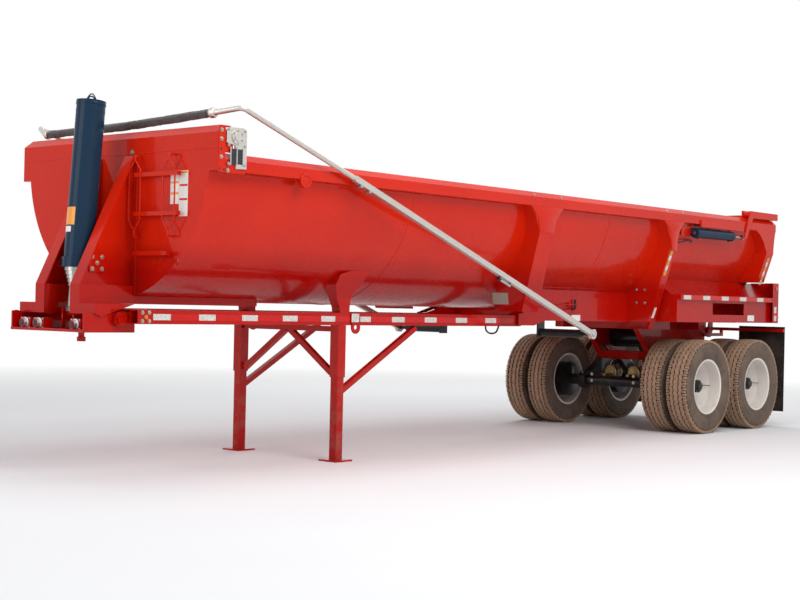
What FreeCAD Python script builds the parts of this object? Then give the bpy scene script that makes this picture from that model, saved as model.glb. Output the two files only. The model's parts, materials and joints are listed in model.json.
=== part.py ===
"""Frameless end dump trailer: half-round tub, tandem suspension, draft frame, coupler and front hoist.

Millimetres. +X points forwards to the kingpin, +Y to the trailer's left, +Z up.
The origin lies on the ground, below the middle of the trailer's outer box.
"""
import FreeCAD, Part, Sketcher
import math
import os
import re
from types import SimpleNamespace

from FreeCAD import Placement, Rotation, Vector

# Driving dimensions: alias, value in millimetres or degrees, what it is.
DIMENSIONS = [
    ("front_end", 5200, "front edge of the coupler plate"),
    ("rear_end", -5200, "rear face of the mud flaps"),
    ("tub_front", 4550, "front face of the bulkhead"),
    ("tub_rear", -4925, "rear edge of the shell"),
    ("rail_top", 2597, "top of the side rails, centre height of the round shell"),
    ("shell_wall", 6, "shell plate"),
    ("seat_gap", 0.3, "gap between pieces that bear on each other"),
    ("sweep_gap", 5, "gap beside a piece that swings"),
    ("half_width", 1270, "outer face of the rails and fenders"),
    ("rail_depth", 95, "width of the side rails"),
    ("shell_radius", "=half_width - rail_depth", "outer radius of the half-round shell"),
    ("rail_bottom", "=rail_top - 142", "lower edge of the side rails"),
    ("rail_knee", "=rail_top - 52", "height where the rail's upper band turns inwards"),
    ("rail_crown_inset", 55, "how far the upper band turns inwards"),
    ("bulkhead_wall", 8, "bulkhead plate"),
    ("bulkhead_top", "=bulkhead_knee + 61", "top of the bulkhead"),
    ("bulkhead_knee", "=rail_top + 158", "height where the bulkhead's top band turns back"),
    ("bulkhead_band_depth", 60, "how far the top band leans back"),
    ("bulkhead_flange", 105, "length of the flat top flange"),
    ("bulkhead_chamfer", 40, "cut at the bulkhead's upper corners"),
    ("rib_wall", 6, "plate of the side ribs"),
    ("rib_neck_height", "=rail_top - 417", "height where the ribs' flare ends"),
    ("rib_foot_y", "=half_width - 310", "outer face of the ribs at their feet"),
    ("rib_foot_height", "=rear_rail_bottom", "lower end of the ribs"),
    ("frame_y", 620, "centre of the draft arms, rear rails and subframe beams"),
    ("rail_width", 120, "width of the rear rails"),
    ("rail_plate", 8, "plate of the rails and beams"),
    ("rear_rail_bottom", 1300, "underside of the tub's rear rails"),
    ("rear_rail_front", -510, "front end of the rear rails"),
    ("rear_rail_rear", -5040, "rear end of the rear rails and fenders"),
    ("cross_bar_top", "=rail_top - shell_radius - 10", "top of the cross members' bars"),
    ("sill_y", 230, "centre of the front sills"),
    ("sill_width", 120, "width of the front sills"),
    ("sill_bottom", 1394, "underside of the front sills"),
    ("sill_front", 5100, "front end of the front sills"),
    ("sill_rear", 3157, "rear end of the front sills"),
    ("hoist_base_top", 1545, "top of the box below the hoist gussets"),
    ("gusset_top", 2600, "where the gussets meet the bulkhead"),
    ("gusset_flange", 10, "plate of the gussets"),
    ("gusset_web_y", 228, "web plane of the hoist gussets"),
    ("wedge_tip_x", 5040, "tip of the locating wedge"),
    ("wedge_tip_z", 1292, "bottom of the coupler's notch"),
    ("wedge_half", 500, "outer end of the wedge"),
    ("wedge_rear_x", 4710, "rear end of the wedge's slope"),
    ("fender_front", -2600, "front end of the fenders"),
    ("fender_shelf", 1625, "top of the fender shelf"),
    ("fender_lip", 1568, "lower edge of the shelf's lip"),
    ("fender_skirt_y", 1220, "outer face of the fender skirt"),
    ("fender_bottom", 1310, "lower edge of the fender skirt"),
    ("fender_plate", 5, "fender sheet"),
    ("fender_top", 1812, "height where the fender meets the shell"),
    ("post_width", 150, "width of the rear corner post"),
    ("axle_x", -3260, "front axle"),
    ("axle_spacing", 1245, "distance between the axles"),
    ("tyre_radius", 552, "tyre's outer radius, and the axle's height"),
    ("tyre_width", 280, "width of one tyre"),
    ("dual_middle", 983, "plane between the twin wheels"),
    ("dual_spacing", 343, "distance between the twin tyres' middles"),
    ("rim_radius", 324, "radius over the rim's flange"),
    ("rim_seat", 311, "radius of the rim's bead seat"),
    ("rim_width", 240, "width over the rim's flanges"),
    ("rim_plate", 9, "rim and disc plate"),
    ("disc_plate", 11, "thickness of each wheel disc"),
    ("hand_hole_radius", 32, "hand holes in the discs"),
    ("hand_hole_circle", 205, "radius of the hand holes' circle"),
    ("hub_radius", 118, "hub barrel"),
    ("hub_cap_radius", 72, "hub cap"),
    ("drum_radius", 212, "brake drum"),
    ("axle_radius", 64, "axle beam"),
    ("spindle_radius", 38, "axle spindle"),
    ("spindle_reach", 75, "spindle beyond the plane between the twin wheels"),
    ("hinge_x", -4960, "rear tub hinge"),
    ("hinge_z", 1160, "rear tub hinge"),
    ("hinge_pin", 28, "radius of the rear hinge pin"),
    ("hinge_y", 290, "middle of the rear hinges"),
    ("draft_pivot_x", -310, "rear pivot of the draft arms"),
    ("draft_pivot_z", 1300, "rear pivot of the draft arms"),
    ("draft_pin", 26, "radius of the draft arms' rear pin"),
    ("arm_width", 100, "width of a draft arm"),
    ("arm_height", 114, "depth of a draft arm"),
    ("arm_base", 1238, "underside of the draft arms"),
    ("arm_wall", 8, "wall of the draft arms"),
    ("arm_front", 4815, "front end of the draft arms"),
    ("coupler_pivot_x", 4866, "pivot of the coupler on the draft frame"),
    ("coupler_pivot_z", 1274, "pivot of the coupler on the draft frame"),
    ("coupler_pin", 30, "radius of the coupler's pivot pins"),
    ("coupler_half", 480, "half width of the coupler plate"),
    ("coupler_bottom", 1165, "underside of the coupler plate"),
    ("coupler_plate", 14, "thickness of the coupler plate"),
    ("coupler_rear", 4690, "rear edge of the coupler"),
    ("kingpin_x", 4850, "kingpin axis"),
    ("kingpin_neck", 25.4, "radius of the kingpin's neck"),
    ("kingpin_head", 35.7, "radius of the kingpin's head"),
    ("kingpin_length", 84, "length of the kingpin below the plate"),
    ("kingpin_head_length", 35, "length of the kingpin's lower head"),
    ("leg_x", 2460, "landing legs"),
    ("saddle_x", 2411, "middle of the rest saddles' feet"),
    ("leg_y", 640, "landing legs"),
    ("leg_width", 100, "outer leg tube"),
    ("leg_inner", 84, "inner leg tube"),
    ("leg_outer_bottom", 763, "lower end of the outer leg tube"),
    ("foot_width", 220, "leg foot"),
    ("foot_plate", 16, "leg foot plate"),
    ("trunnion_x", 4900, "hoist trunnion"),
    ("trunnion_z", 1720, "hoist trunnion"),
    ("hoist_foot_x", 4930, "lower hoist pin"),
    ("hoist_foot_z", 1310, "lower hoist pin"),
    ("hoist_foot_pin", 30, "radius of the lower hoist pin"),
    ("barrel_radius", 118, "outer radius of the hoist barrel"),
    ("barrel_rise", 1320, "barrel above the trunnion"),
    ("barrel_drop", 42, "barrel below the trunnion"),
    ("barrel_wall", 9, "wall of the hoist barrel"),
    ("stage_wall", 8, "wall of each hoist stage"),
    ("stage_gap", 1, "gap between hoist stages"),
    ("stage_step", 30, "how far each stage shows below the one around it"),
    ("trunnion_radius", 35, "trunnion pins"),
    ("gate_pivot_x", -4240, "tailgate pivot"),
    ("gate_pivot_z", 2642, "tailgate pivot"),
    ("gate_plate", 8, "tailgate plate"),
    ("gate_arm_height", 82, "depth of the tailgate arms"),
    ("gate_arm_width", 76, "width of the tailgate arms"),
    ("gate_lever_y", 1275, "inner face of the tailgate levers"),
    ("gate_lever_plate", 15, "tailgate lever plate"),
    ("gate_rod_x", -4085, "pin of the gate cylinder's rod at rest"),
    ("gate_rod_z", 2351, "pin of the gate cylinder's rod at rest"),
    ("gate_base_x", -2900, "pin of the gate cylinder's barrel"),
    ("gate_base_z", 2347, "pin of the gate cylinder's barrel"),
    ("gate_cylinder_y", 1238, "centre line of the gate cylinders"),
    ("gate_cylinder_radius", 55, "gate cylinder barrel"),
    ("gate_cylinder_length", 890, "gate cylinder barrel"),
    ("gate_rod_radius", 20, "gate cylinder rod"),
    ("tarp_pivot_x", -687, "pivot of the tarp arms"),
    ("tarp_pivot_z", 1176, "pivot of the tarp arms"),
    ("tarp_y", 1327, "middle plane of the tarp arms"),
    ("tarp_joint_x", 3037, "joint of the tarp arms' two sections"),
    ("tarp_joint_z", 2505, "joint of the tarp arms' two sections"),
    ("tarp_elbow_x", 4351, "elbow of the tarp arms"),
    ("tarp_elbow_z", 2958, "elbow of the tarp arms"),
    ("tarp_bar_x", 4440, "crossbar of the tarp bow"),
    ("tarp_bar_z", 2925, "crossbar of the tarp bow"),
    ("tarp_bar_sag", 45, "how far the crossbar hangs lower in its middle"),
    ("tarp_bar_drop", 52, "how far the crossbar's right end is lower than its left end"),
    ("tarp_arm_depth", 52, "depth of the lower tarp arms"),
    ("tarp_bar_half", 1060, "half length of the tarp roll"),
    ("tarp_tube_radius", 22, "upper tarp arm and crossbar tube"),
    ("tarp_roll_radius", 34, "rolled tarp"),
    ("beam_bottom", 1065, "underside of the subframe's side plates behind the hanger"),
    ("beam_rear", -4750, "rear end of the subframe's side plates"),
    ("hanger_bottom", 820, "lower edge of the hanger"),
    ("hanger_front", -3030, "upper front corner of the subframe's side plates"),
    ("hanger_nose", -3500, "lower front corner of the hanger"),
    ("hanger_tail", -3985, "lower rear corner of the hanger"),
    ("hanger_rear", -4200, "upper rear corner of the hanger"),
    ("plate_y", 378, "inner face of the subframe's side plates"),
    ("plate_depth", 14, "thickness of the subframe's plates"),
    ("rocker_z", 880, "height of the walking beams' pins"),
    ("rocker_pin", 30, "radius of the walking beams' pins"),
    ("rocker_y", 400, "inner face of the walking beams"),
    ("rocker_width", 90, "width of the walking beams"),
    ("tank_x", -3720, "front air tank"),
    ("tank_z", 1090, "air tanks"),
    ("tank_radius", 118, "air tanks"),
    ("flap_top", 1262, "top of the mud flaps"),
    ("flap_bottom", 184, "bottom of the mud flaps"),
    ("flap_inner", 650, "inner edge of the mud flaps"),
    ("flap_outer", 1290, "outer edge of the mud flaps"),
    ("flap_rubber", 10, "mud flap rubber"),
]

doc = FreeCAD.newDocument("DumpTrailer")
sheet = doc.addObject("Spreadsheet::Sheet", "Sizes")
for row, (alias, _, meaning) in enumerate(DIMENSIONS, start=1):
    sheet.set(f"A{row}", meaning)
    sheet.setAlias(f"B{row}", alias)
for row, (_, size, _) in enumerate(DIMENSIONS, start=1):
    sheet.set(f"B{row}", str(size))
sheet.set("D1", "0")
sheet.setAlias("D1", "probe")
doc.recompute()

# The same cells as plain numbers, for the shapes that are set by code.
S = SimpleNamespace(**{alias: float(sheet.get(alias)) for alias, _, _ in DIMENSIONS})
ALIASES = {alias for alias, _, _ in DIMENSIONS}
SIDES = (("left", 1), ("right", -1))
LONG = 2 * (S.front_end - S.rear_end)
nodes = {}


def linked(formula):
    """Write a formula of aliases the way the document's expressions need it."""
    return re.sub(r"[a-z_][a-z_0-9]*",
                  lambda word: f"Sizes.{word[0]}" if word[0] in ALIASES else word[0], str(formula))


def bind(thing, **formulas):
    """Tie properties to the sheet; PlacementX, PlacementY and PlacementZ place the object."""
    for name, formula in formulas.items():
        path = f".Placement.Base.{name[-1].lower()}" if name.startswith("Placement") else name
        thing.setExpression(path, linked(formula))
    return thing


def node(name, thing):
    """Give a finished sub-part its name."""
    thing.Label = name
    nodes[name] = thing
    return thing


def shaped(name, shape):
    """A feature whose shape is set by code."""
    thing = doc.addObject("Part::Feature", name)
    thing.Shape = shape
    return thing


def block(name, low, span):
    """Box from its lowest corner and its spans, all formulas."""
    thing = doc.addObject("Part::Box", name)
    return bind(thing, PlacementX=low[0], PlacementY=low[1], PlacementZ=low[2],
                Length=span[0], Width=span[1], Height=span[2])


TURNS = {"X": Rotation(Vector(0, 1, 0), 90), "Y": Rotation(Vector(1, 0, 0), -90), "Z": Rotation()}


def rod(name, start, axis, radius, length):
    """Cylinder from its start point along a row axis, all formulas."""
    thing = doc.addObject("Part::Cylinder", name)
    thing.Placement = Placement(Vector(), TURNS[axis])
    return bind(thing, PlacementX=start[0], PlacementY=start[1], PlacementZ=start[2],
                Radius=radius, Height=length)


def joined(name, things, refine=False):
    fuse = doc.addObject("Part::MultiFuse", name)
    fuse.Shapes = things
    fuse.Refine = refine
    return fuse


def beside(name, things):
    """Solids that don't touch, kept in one sub-part."""
    group = doc.addObject("Part::Compound", name)
    group.Links = things
    return group


def minus(name, base, tool):
    cut = doc.addObject("Part::Cut", name)
    cut.Base = base
    cut.Tool = tool
    return cut


def mirrored(name, thing):
    """The same piece on the trailer's other side."""
    copy = doc.addObject("Part::Mirroring", name)
    copy.Source = thing
    copy.Normal = Vector(0, 1, 0)
    return copy


def pair(name, thing):
    return beside(name, [thing, mirrored(name + "_other", thing)])


def plane_of(body, role):
    return next(item for item in body.Origin.OriginFeatures if item.Role == role)


def outline(body, role, corners, offset="0"):
    """Closed sketch of straight lines whose corners are formulas, on a plane of its body."""
    sketch = body.newObject("Sketcher::SketchObject", body.Name + "_outline")
    sketch.AttachmentSupport = [(plane_of(body, role), "")]
    sketch.MapMode = "FlatFace"
    sketch.setExpression(".AttachmentOffset.Base.z", linked(offset))
    points = [Vector(number(a), number(b), 0) for a, b in corners]
    count = len(points)
    sketch.addGeometry([Part.LineSegment(points[i], points[(i + 1) % count]) for i in range(count)])
    rules = [Sketcher.Constraint("Coincident", i, 2, (i + 1) % count, 1) for i in range(count)]
    for i, point in enumerate(points):
        rules.append(Sketcher.Constraint("DistanceX", -1, 1, i, 1, point.x))
        rules.append(Sketcher.Constraint("DistanceY", -1, 1, i, 1, point.y))
    sketch.addConstraint(rules)
    for i, (a, b) in enumerate(corners):
        sketch.setExpression(f"Constraints[{count + 2 * i}]", linked(a))
        sketch.setExpression(f"Constraints[{count + 2 * i + 1}]", linked(b))
    return sketch


def number(formula):
    """Value of a formula, worked out by the sheet itself."""
    sheet.set("D1", "=" + str(formula))
    sheet.recompute()
    return float(sheet.get("D1"))


def plate(name, role, corners, depth, offset="0", backwards=False):
    """Straight-sided outline padded along its plane's normal."""
    body = doc.addObject("PartDesign::Body", name)
    sketch = outline(body, role, corners, offset)
    pad = body.newObject("PartDesign::Pad", name + "_pad")
    pad.Profile = sketch
    pad.Reversed = backwards
    bind(pad, Length=depth)
    sketch.Visibility = False
    return body


def side_plate(name, corners, inner, depth):
    """Outline in X and Z, padded outwards from the plane Y = inner."""
    return plate(name, "XZ_Plane", corners, depth, f"-({inner})", backwards=True)


def cross_plate(name, corners, start, depth):
    """Outline in Y and Z, padded forwards from the plane X = start."""
    return plate(name, "YZ_Plane", corners, depth, start)


def turned(name, corners, centre):
    """Solid of revolution about an axis along Y; corners are (y, radius) formulas."""
    body = doc.addObject("PartDesign::Body", name)
    sketch = outline(body, "YZ_Plane", corners)
    spin = body.newObject("PartDesign::Revolution", name + "_spin")
    spin.Profile = sketch
    spin.ReferenceAxis = (sketch, ["H_Axis"])
    spin.Angle = 360
    sketch.Visibility = False
    return bind(body, PlacementX=centre[0], PlacementY=centre[1], PlacementZ=centre[2])


def shell_core(name, clearance):
    """Long cylinder that stands for the space inside the tub and its plate."""
    return rod(name, ("tub_rear - 500", 0, "rail_top"), "X",
               f"shell_radius + {clearance}", "tub_front - tub_rear + 1000")


def bar(start, end, width, height, wall=0.0):
    """Rectangular bar or tube between two points; its width lies across the X-Z plane."""
    along = end - start
    length = along.Length
    box = Part.makeBox(length, width, height, Vector(0, -width / 2, -height / 2))
    if wall:
        box = box.cut(Part.makeBox(length, width - 2 * wall, height - 2 * wall,
                                   Vector(0, wall - width / 2, wall - height / 2)))
    side = Vector(0, 1, 0)
    if abs(along.y) > 0.9 * length:
        side = Vector(1, 0, 0)
    turn = Rotation(along, side, along.cross(side), "XYZ")
    box.Placement = Placement(start, turn)
    return box


def tube_along(points, radius, bend, wall=0.0):
    """Round bar along straight runs with one bend radius at each turn."""
    edges = []
    last = points[0]
    for before, corner, after in zip(points, points[1:], points[2:]):
        come = (corner - before).normalize()
        go = (after - corner).normalize()
        turn = come.getAngle(go)
        cut = bend * math.tan(turn / 2)
        first = corner - come * cut
        final = corner + go * cut
        middle = corner + (go - come).normalize() * (bend / math.cos(turn / 2) - bend)
        edges.append(Part.LineSegment(last, first).toShape())
        edges.append(Part.Arc(first, middle, final).toShape())
        last = final
    edges.append(Part.LineSegment(last, points[-1]).toShape())
    path = Part.Wire(edges)
    start = points[1] - points[0]
    ring = Part.Wire(Part.makeCircle(radius, points[0], start))
    return path.makePipeShell([ring], True, True)


# Tub shell: half round plate, open at the top.
shell_outer = shell_core("shell_outer", 0)
bind(shell_outer, PlacementX="tub_rear", Height="tub_front - bulkhead_wall - tub_rear")
shell_inner = shell_core("shell_inner", "0 - shell_wall")
shell_lower = block("shell_lower", ("tub_rear", "0 - shell_radius", "rail_top - shell_radius"),
                    ("tub_front - bulkhead_wall - tub_rear", "2 * shell_radius", "shell_radius"))
shell_ring = minus("shell_ring", shell_outer, shell_inner)
shell_half = doc.addObject("Part::Common", "shell_half")
shell_half.Base = shell_ring
shell_half.Tool = shell_lower
node("tub_shell", shell_half)

# Bulkhead: plate that follows the shell below and is as wide as the rails above.
plate_lower = rod("plate_lower", ("tub_front - bulkhead_wall", 0, "rail_top"), "X",
                  "shell_radius", "bulkhead_wall")
plate_lower_box = block("plate_lower_box",
                        ("tub_front - bulkhead_wall", "0 - shell_radius", "rail_top - shell_radius"),
                        ("bulkhead_wall", "2 * shell_radius", "shell_radius"))
plate_round = doc.addObject("Part::Common", "plate_round")
plate_round.Base = plate_lower
plate_round.Tool = plate_lower_box
plate_upper = block("plate_upper", ("tub_front - bulkhead_wall", "0 - half_width", "rail_bottom"),
                    ("bulkhead_wall", "2 * half_width", "bulkhead_knee - rail_bottom"))
band_bend = "tub_front - bulkhead_band_depth"
band_back = "tub_front - bulkhead_band_depth - bulkhead_flange"
bulkhead_band = side_plate("bulkhead_band", [
    ("tub_front", "bulkhead_knee - 1"),
    ("tub_front", "bulkhead_knee"),
    (band_bend, "bulkhead_top"),
    (band_back, "bulkhead_top"),
    (band_back, "bulkhead_top - bulkhead_wall"),
    (band_bend + " - 4", "bulkhead_top - bulkhead_wall"),
    ("tub_front - bulkhead_wall", "bulkhead_knee - 3"),
    ("tub_front - bulkhead_wall", "bulkhead_knee - 4"),
], "0 - half_width", "2 * half_width")
band_chamfers = []
for side, sign in SIDES:
    band_chamfers.append(cross_plate(f"band_chamfer_{side}", [
        (f"{sign} * (half_width - bulkhead_chamfer)", "bulkhead_top + 1"),
        (f"{sign} * (half_width + 1)", "bulkhead_top + 1"),
        (f"{sign} * (half_width + 1)", "bulkhead_knee"),
        (f"{sign} * half_width", "bulkhead_knee"),
    ], "tub_front - 400", "500"))
cheeks = [side_plate(f"bulkhead_cheek_{side}", [
    ("tub_front - 2", "rail_top + 2 * seat_gap"),
    ("tub_front - 2", "bulkhead_knee"),
    (band_bend, "bulkhead_top - bulkhead_wall + 1"),
    (band_back + " + 10", "bulkhead_top - bulkhead_wall + 1"),
    (band_back + " + 10", "rail_top + 2 * seat_gap"),
], "half_width - bulkhead_wall" if sign > 0 else "0 - half_width", "bulkhead_wall") for side, sign in SIDES]
bulkhead_cut = minus("bulkhead_cut", joined("bulkhead_sheets", [plate_round, plate_upper, bulkhead_band] + cheeks),
                     joined("band_chamfer_pair", band_chamfers))
node("bulkhead", bulkhead_cut)

# Side rails: closed sections along the shell's upper edges.
rail_inner = "shell_radius + seat_gap"
side_rail = cross_plate("side_rail", [
    (rail_inner, "rail_bottom"),
    ("half_width", "rail_bottom"),
    ("half_width", "rail_knee"),
    ("half_width - rail_crown_inset", "rail_top"),
    (rail_inner, "rail_top"),
], "tub_rear", "tub_front - bulkhead_wall - tub_rear")
node("top_rails", pair("top_rails", side_rail))

# Side ribs: channels that stand on the shell, flared where they meet the rail.
# Name, then front and rear edges at the rail, at the neck and at the foot, and the foot's height.
RIBS = [
    ("middle", 377, -187, 220, -22, 110, -163, 1395),
    ("rear", -2191, -2637, -2352, -2476, -2400, -2560, None),
    ("corner", -4409, -4915, -4690, -4870, -4700, -4880, 1818),
]


def rib_line(height):
    """Outer face of a rib at a height: upright down to the neck, then leaning in."""
    fall = (S.rib_neck_height - height) / (S.rib_neck_height - S.rib_foot_height)
    return S.half_width + (S.rib_foot_y - S.half_width) * max(0.0, fall)


def rib_prism(edges, foot, inset, reach):
    """Space of one rib: its outline seen from the side, cut by its outer face and its inner reach."""
    top_front, top_rear, neck_front, neck_rear, foot_front, foot_rear = edges
    top = S.rail_bottom - S.seat_gap
    low = foot + (-1 if inset else 0)
    front = [Vector(foot_front - inset, 0, low), Vector(neck_front - inset, 0, S.rib_neck_height),
             Vector(top_front - inset, 0, top)]
    rear = [Vector(top_rear + inset, 0, top), Vector(neck_rear + inset, 0, S.rib_neck_height),
            Vector(foot_rear + inset, 0, low)]
    sag_front = Vector(neck_front - inset + 0.25 * (top_front - neck_front), 0, 0.42 * top + 0.58 * S.rib_neck_height)
    sag_rear = Vector(neck_rear + inset + 0.25 * (top_rear - neck_rear), 0, 0.42 * top + 0.58 * S.rib_neck_height)
    face = Part.Face(Part.Wire([
        Part.LineSegment(front[0], front[1]).toShape(),
        Part.Arc(front[1], sag_front, front[2]).toShape(),
        Part.LineSegment(front[2], rear[0]).toShape(),
        Part.Arc(rear[0], sag_rear, rear[1]).toShape(),
        Part.LineSegment(rear[1], rear[2]).toShape(),
        Part.LineSegment(rear[2], front[0]).toShape(),
    ]))
    seen = face.extrude(Vector(0, 2 * S.half_width, 0))
    outer = [Vector(0, rib_line(low) - inset, low), Vector(0, S.half_width - inset, S.rib_neck_height),
             Vector(0, S.half_width - inset, top), Vector(0, reach, top), Vector(0, reach, low)]
    profile = Part.Face(Part.makePolygon(outer + outer[:1]))
    profile.translate(Vector(S.tub_rear - 500, 0, 0))
    return seen.common(profile.extrude(Vector(S.tub_front - S.tub_rear + 1000, 0, 0)))


def rib_shape(edges, foot):
    reach = S.frame_y
    keep = Part.makeCylinder(S.shell_radius + S.seat_gap, S.tub_front - S.tub_rear + 1000,
                             Vector(S.tub_rear - 500, 0, S.rail_top), Vector(1, 0, 0))
    whole = rib_prism(edges, foot, 0, reach).cut(keep)
    hollow = rib_prism(edges, foot, S.rib_wall, reach - 100)
    return whole.cut(hollow)


rib_nodes = []
for name, *edges, foot in RIBS:
    rib = rib_shape(edges, foot or S.rib_foot_height)
    rail_clear = Part.makeBox(LONG, S.rail_width + 2 * S.seat_gap, S.shell_radius / 2,
                              Vector(-LONG / 2, S.frame_y - S.rail_width / 2 - S.seat_gap, S.rear_rail_bottom - 100))
    rib = rib.cut(rail_clear)
    rib = max(rib.Solids, key=lambda solid: solid.Volume)
    rib_nodes.append(shaped(f"rib_{name}", rib))
node("side_ribs", beside("side_ribs", [pair(f"rib_pair_{i}", rib) for i, rib in enumerate(rib_nodes)]))

# Rear rails under the shell, with forks for the draft arms and ears for the rear hinge.
rail_low_y = "frame_y - rail_width / 2"
rail_solid = block("rail_solid", ("rear_rail_rear", rail_low_y, "rear_rail_bottom"),
                   ("rear_rail_front - rear_rail_rear", "rail_width", "400"))
rail_hollow = block("rail_hollow", ("rear_rail_rear - 10", rail_low_y + " + rail_plate", "rear_rail_bottom + rail_plate"),
                    ("rear_rail_front - rear_rail_rear + 20", "rail_width - 2 * rail_plate", "500"))
rail_seat = shell_core("rail_seat", "seat_gap")
gate_room = rod("gate_room", ("tub_rear - 500", 0, "rail_top"), "X", "shell_radius + 2 * sweep_gap", 500)
rail_channel = minus("rail_channel", minus("rail_trimmed", minus("rail_seated", rail_solid, rail_seat), gate_room),
                     rail_hollow)
rail_parts = [rail_channel]
for where, low in (("inner", "frame_y - rail_width / 2 - 16"), ("outer", "frame_y + rail_width / 2")):
    rail_parts.append(side_plate(f"fork_{where}", [
        ("draft_pivot_x + 62", "draft_pivot_z - 52"),
        ("draft_pivot_x + 62", "draft_pivot_z + 62"),
        ("rear_rail_front - 60", "draft_pivot_z + 150"),
        ("rear_rail_front - 220", "draft_pivot_z + 150"),
        ("rear_rail_front - 220", "rear_rail_bottom"),
        ("rear_rail_front - 20", "draft_pivot_z - 52"),
    ], low, 16))
fork_bore = rod("fork_bore", ("draft_pivot_x", rail_low_y + " - 60", "draft_pivot_z"), "Y",
                "draft_pin + 0.05", "rail_width + 120")
rear_rail = minus("rear_rail", joined("rear_rail_parts", rail_parts), fork_bore)
node("rear_rails", pair("rear_rails", rear_rail))

# Cross members between the rear rails, following the shell above.
cross_list = []
for index, place in enumerate((-850, -1620, -2560, -3900, -4700)):
    cross_list.append(block(f"cross_bar_{index}",
                            (place, "0 - frame_y + rail_width / 2 + seat_gap", "rear_rail_bottom + 20"),
                            (90, "2 * frame_y - rail_width - 2 * seat_gap", "cross_bar_top - rear_rail_bottom - 20")))
    wedge_block = block(f"cross_wedge_{index}", (place, "frame_y / 2", "cross_bar_top + seat_gap"),
                        (90, "frame_y / 2 - rail_width / 2 - seat_gap", "400"))
    wedge_cut = minus(f"cross_end_{index}", wedge_block, shell_core(f"cross_seat_{index}", "seat_gap"))
    cross_list += [wedge_cut, mirrored(f"cross_end_{index}_other", wedge_cut)]
hinge_ears = [side_plate(f"hinge_ear_{index}", [
    ("rear_rail_rear", "rear_rail_bottom + 30"),
    ("rear_rail_rear", "hinge_z + 30"),
    ("hinge_x - 30", "hinge_z - 55"),
    ("hinge_x + 30", "hinge_z - 55"),
    ("hinge_x + 55", "hinge_z"),
    ("rear_rail_rear + 80", "rear_rail_bottom + 30"),
], low, 20) for index, low in enumerate(("hinge_y - 60", "hinge_y + 40", "0 - hinge_y - 60", "40 - hinge_y"))]
rear_bolster = block("rear_bolster", ("rear_rail_rear", "0 - frame_y + rail_width / 2 + seat_gap", "rear_rail_bottom"),
                     (80, "2 * frame_y - rail_width - 2 * seat_gap", 110))
ear_bore = rod("ear_bore", ("hinge_x", "0 - hinge_y - 80", "hinge_z"), "Y", "hinge_pin + 0.05", "2 * hinge_y + 160")
cross_list.append(minus("hinge_bolster", joined("bolster_parts", [rear_bolster] + hinge_ears), ear_bore))
node("tub_crossmembers", beside("tub_crossmembers", cross_list))

# Front sills under the shell, with the box that carries the hoist gussets and the locating wedges.
sill_low_y = "sill_y - sill_width / 2"
sill_box = block("sill_box", ("sill_rear", sill_low_y, "sill_bottom"),
                 ("sill_front - sill_rear", "sill_width", "hoist_base_top - sill_bottom"))
sill_trim = rod("sill_trim", ("tub_rear", 0, "rail_top"), "X", "shell_radius + seat_gap",
                "tub_front - tub_rear + seat_gap")
sill_split = block("sill_split", ("tub_front + seat_gap", "0 - half_width", "sill_bottom - 10"),
                   ("sill_front - tub_front + 50", "2 * half_width", "400"))
nose_box = block("nose_box", ("tub_front + 2 * seat_gap", sill_low_y, "sill_bottom"),
                 ("sill_front - tub_front - 2 * seat_gap", "sill_width", "hoist_base_top - sill_bottom"))
wedge = side_plate("wedge", [
    ("wedge_tip_x", "wedge_tip_z + 1"),
    ("sill_front", "wedge_tip_z + 19"),
    ("sill_front", "sill_bottom"),
    ("wedge_rear_x", "sill_bottom"),
], sill_low_y, "wedge_half - sill_y + sill_width / 2")
sill_rear_part = minus("sill_cut", minus("sill_seated", sill_box, sill_trim), sill_split)
sill_nose_part = joined("sill_nose", [nose_box, wedge])
node("front_sills", pair("front_sills", beside("sill_parts", [sill_rear_part, sill_nose_part])))

# Hoist gussets: webs from the sills up the bulkhead, each with a front flange and a trunnion bearing.
gusset_foot = "sill_front - gusset_flange"
gusset_web = side_plate("gusset_web", [
    ("tub_front + seat_gap", "hoist_base_top"),
    (gusset_foot, "hoist_base_top"),
    ("tub_front + 18", "gusset_top"),
    ("tub_front + seat_gap", "gusset_top"),
], "gusset_web_y", "gusset_flange")
gusset_front = side_plate("gusset_front", [
    ("sill_front", "hoist_base_top"),
    ("tub_front + 30", "gusset_top + 8"),
    ("tub_front + 18", "gusset_top"),
    (gusset_foot + " - 4", "hoist_base_top"),
], sill_low_y, "sill_width")
bearing = rod("bearing", ("trunnion_x", "barrel_radius + 75", "trunnion_z"), "Y", "trunnion_radius + 24",
              "gusset_web_y - barrel_radius - 75")
bearing_plate = side_plate("bearing_plate", [
    ("trunnion_x - 75", "trunnion_z - 75"),
    ("trunnion_x + 75", "trunnion_z - 75"),
    ("trunnion_x + 75", "trunnion_z + 75"),
    ("trunnion_x - 75", "trunnion_z + 75"),
], "gusset_web_y + gusset_flange", 12)
bearing_bore = rod("bearing_bore", ("trunnion_x", "barrel_radius", "trunnion_z"), "Y",
                   "trunnion_radius + 0.05", "gusset_web_y - barrel_radius")
gusset = minus("gusset", joined("gusset_parts", [gusset_web, gusset_front, bearing, bearing_plate]), bearing_bore)
node("hoist_gussets", pair("hoist_gussets", gusset))

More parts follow.
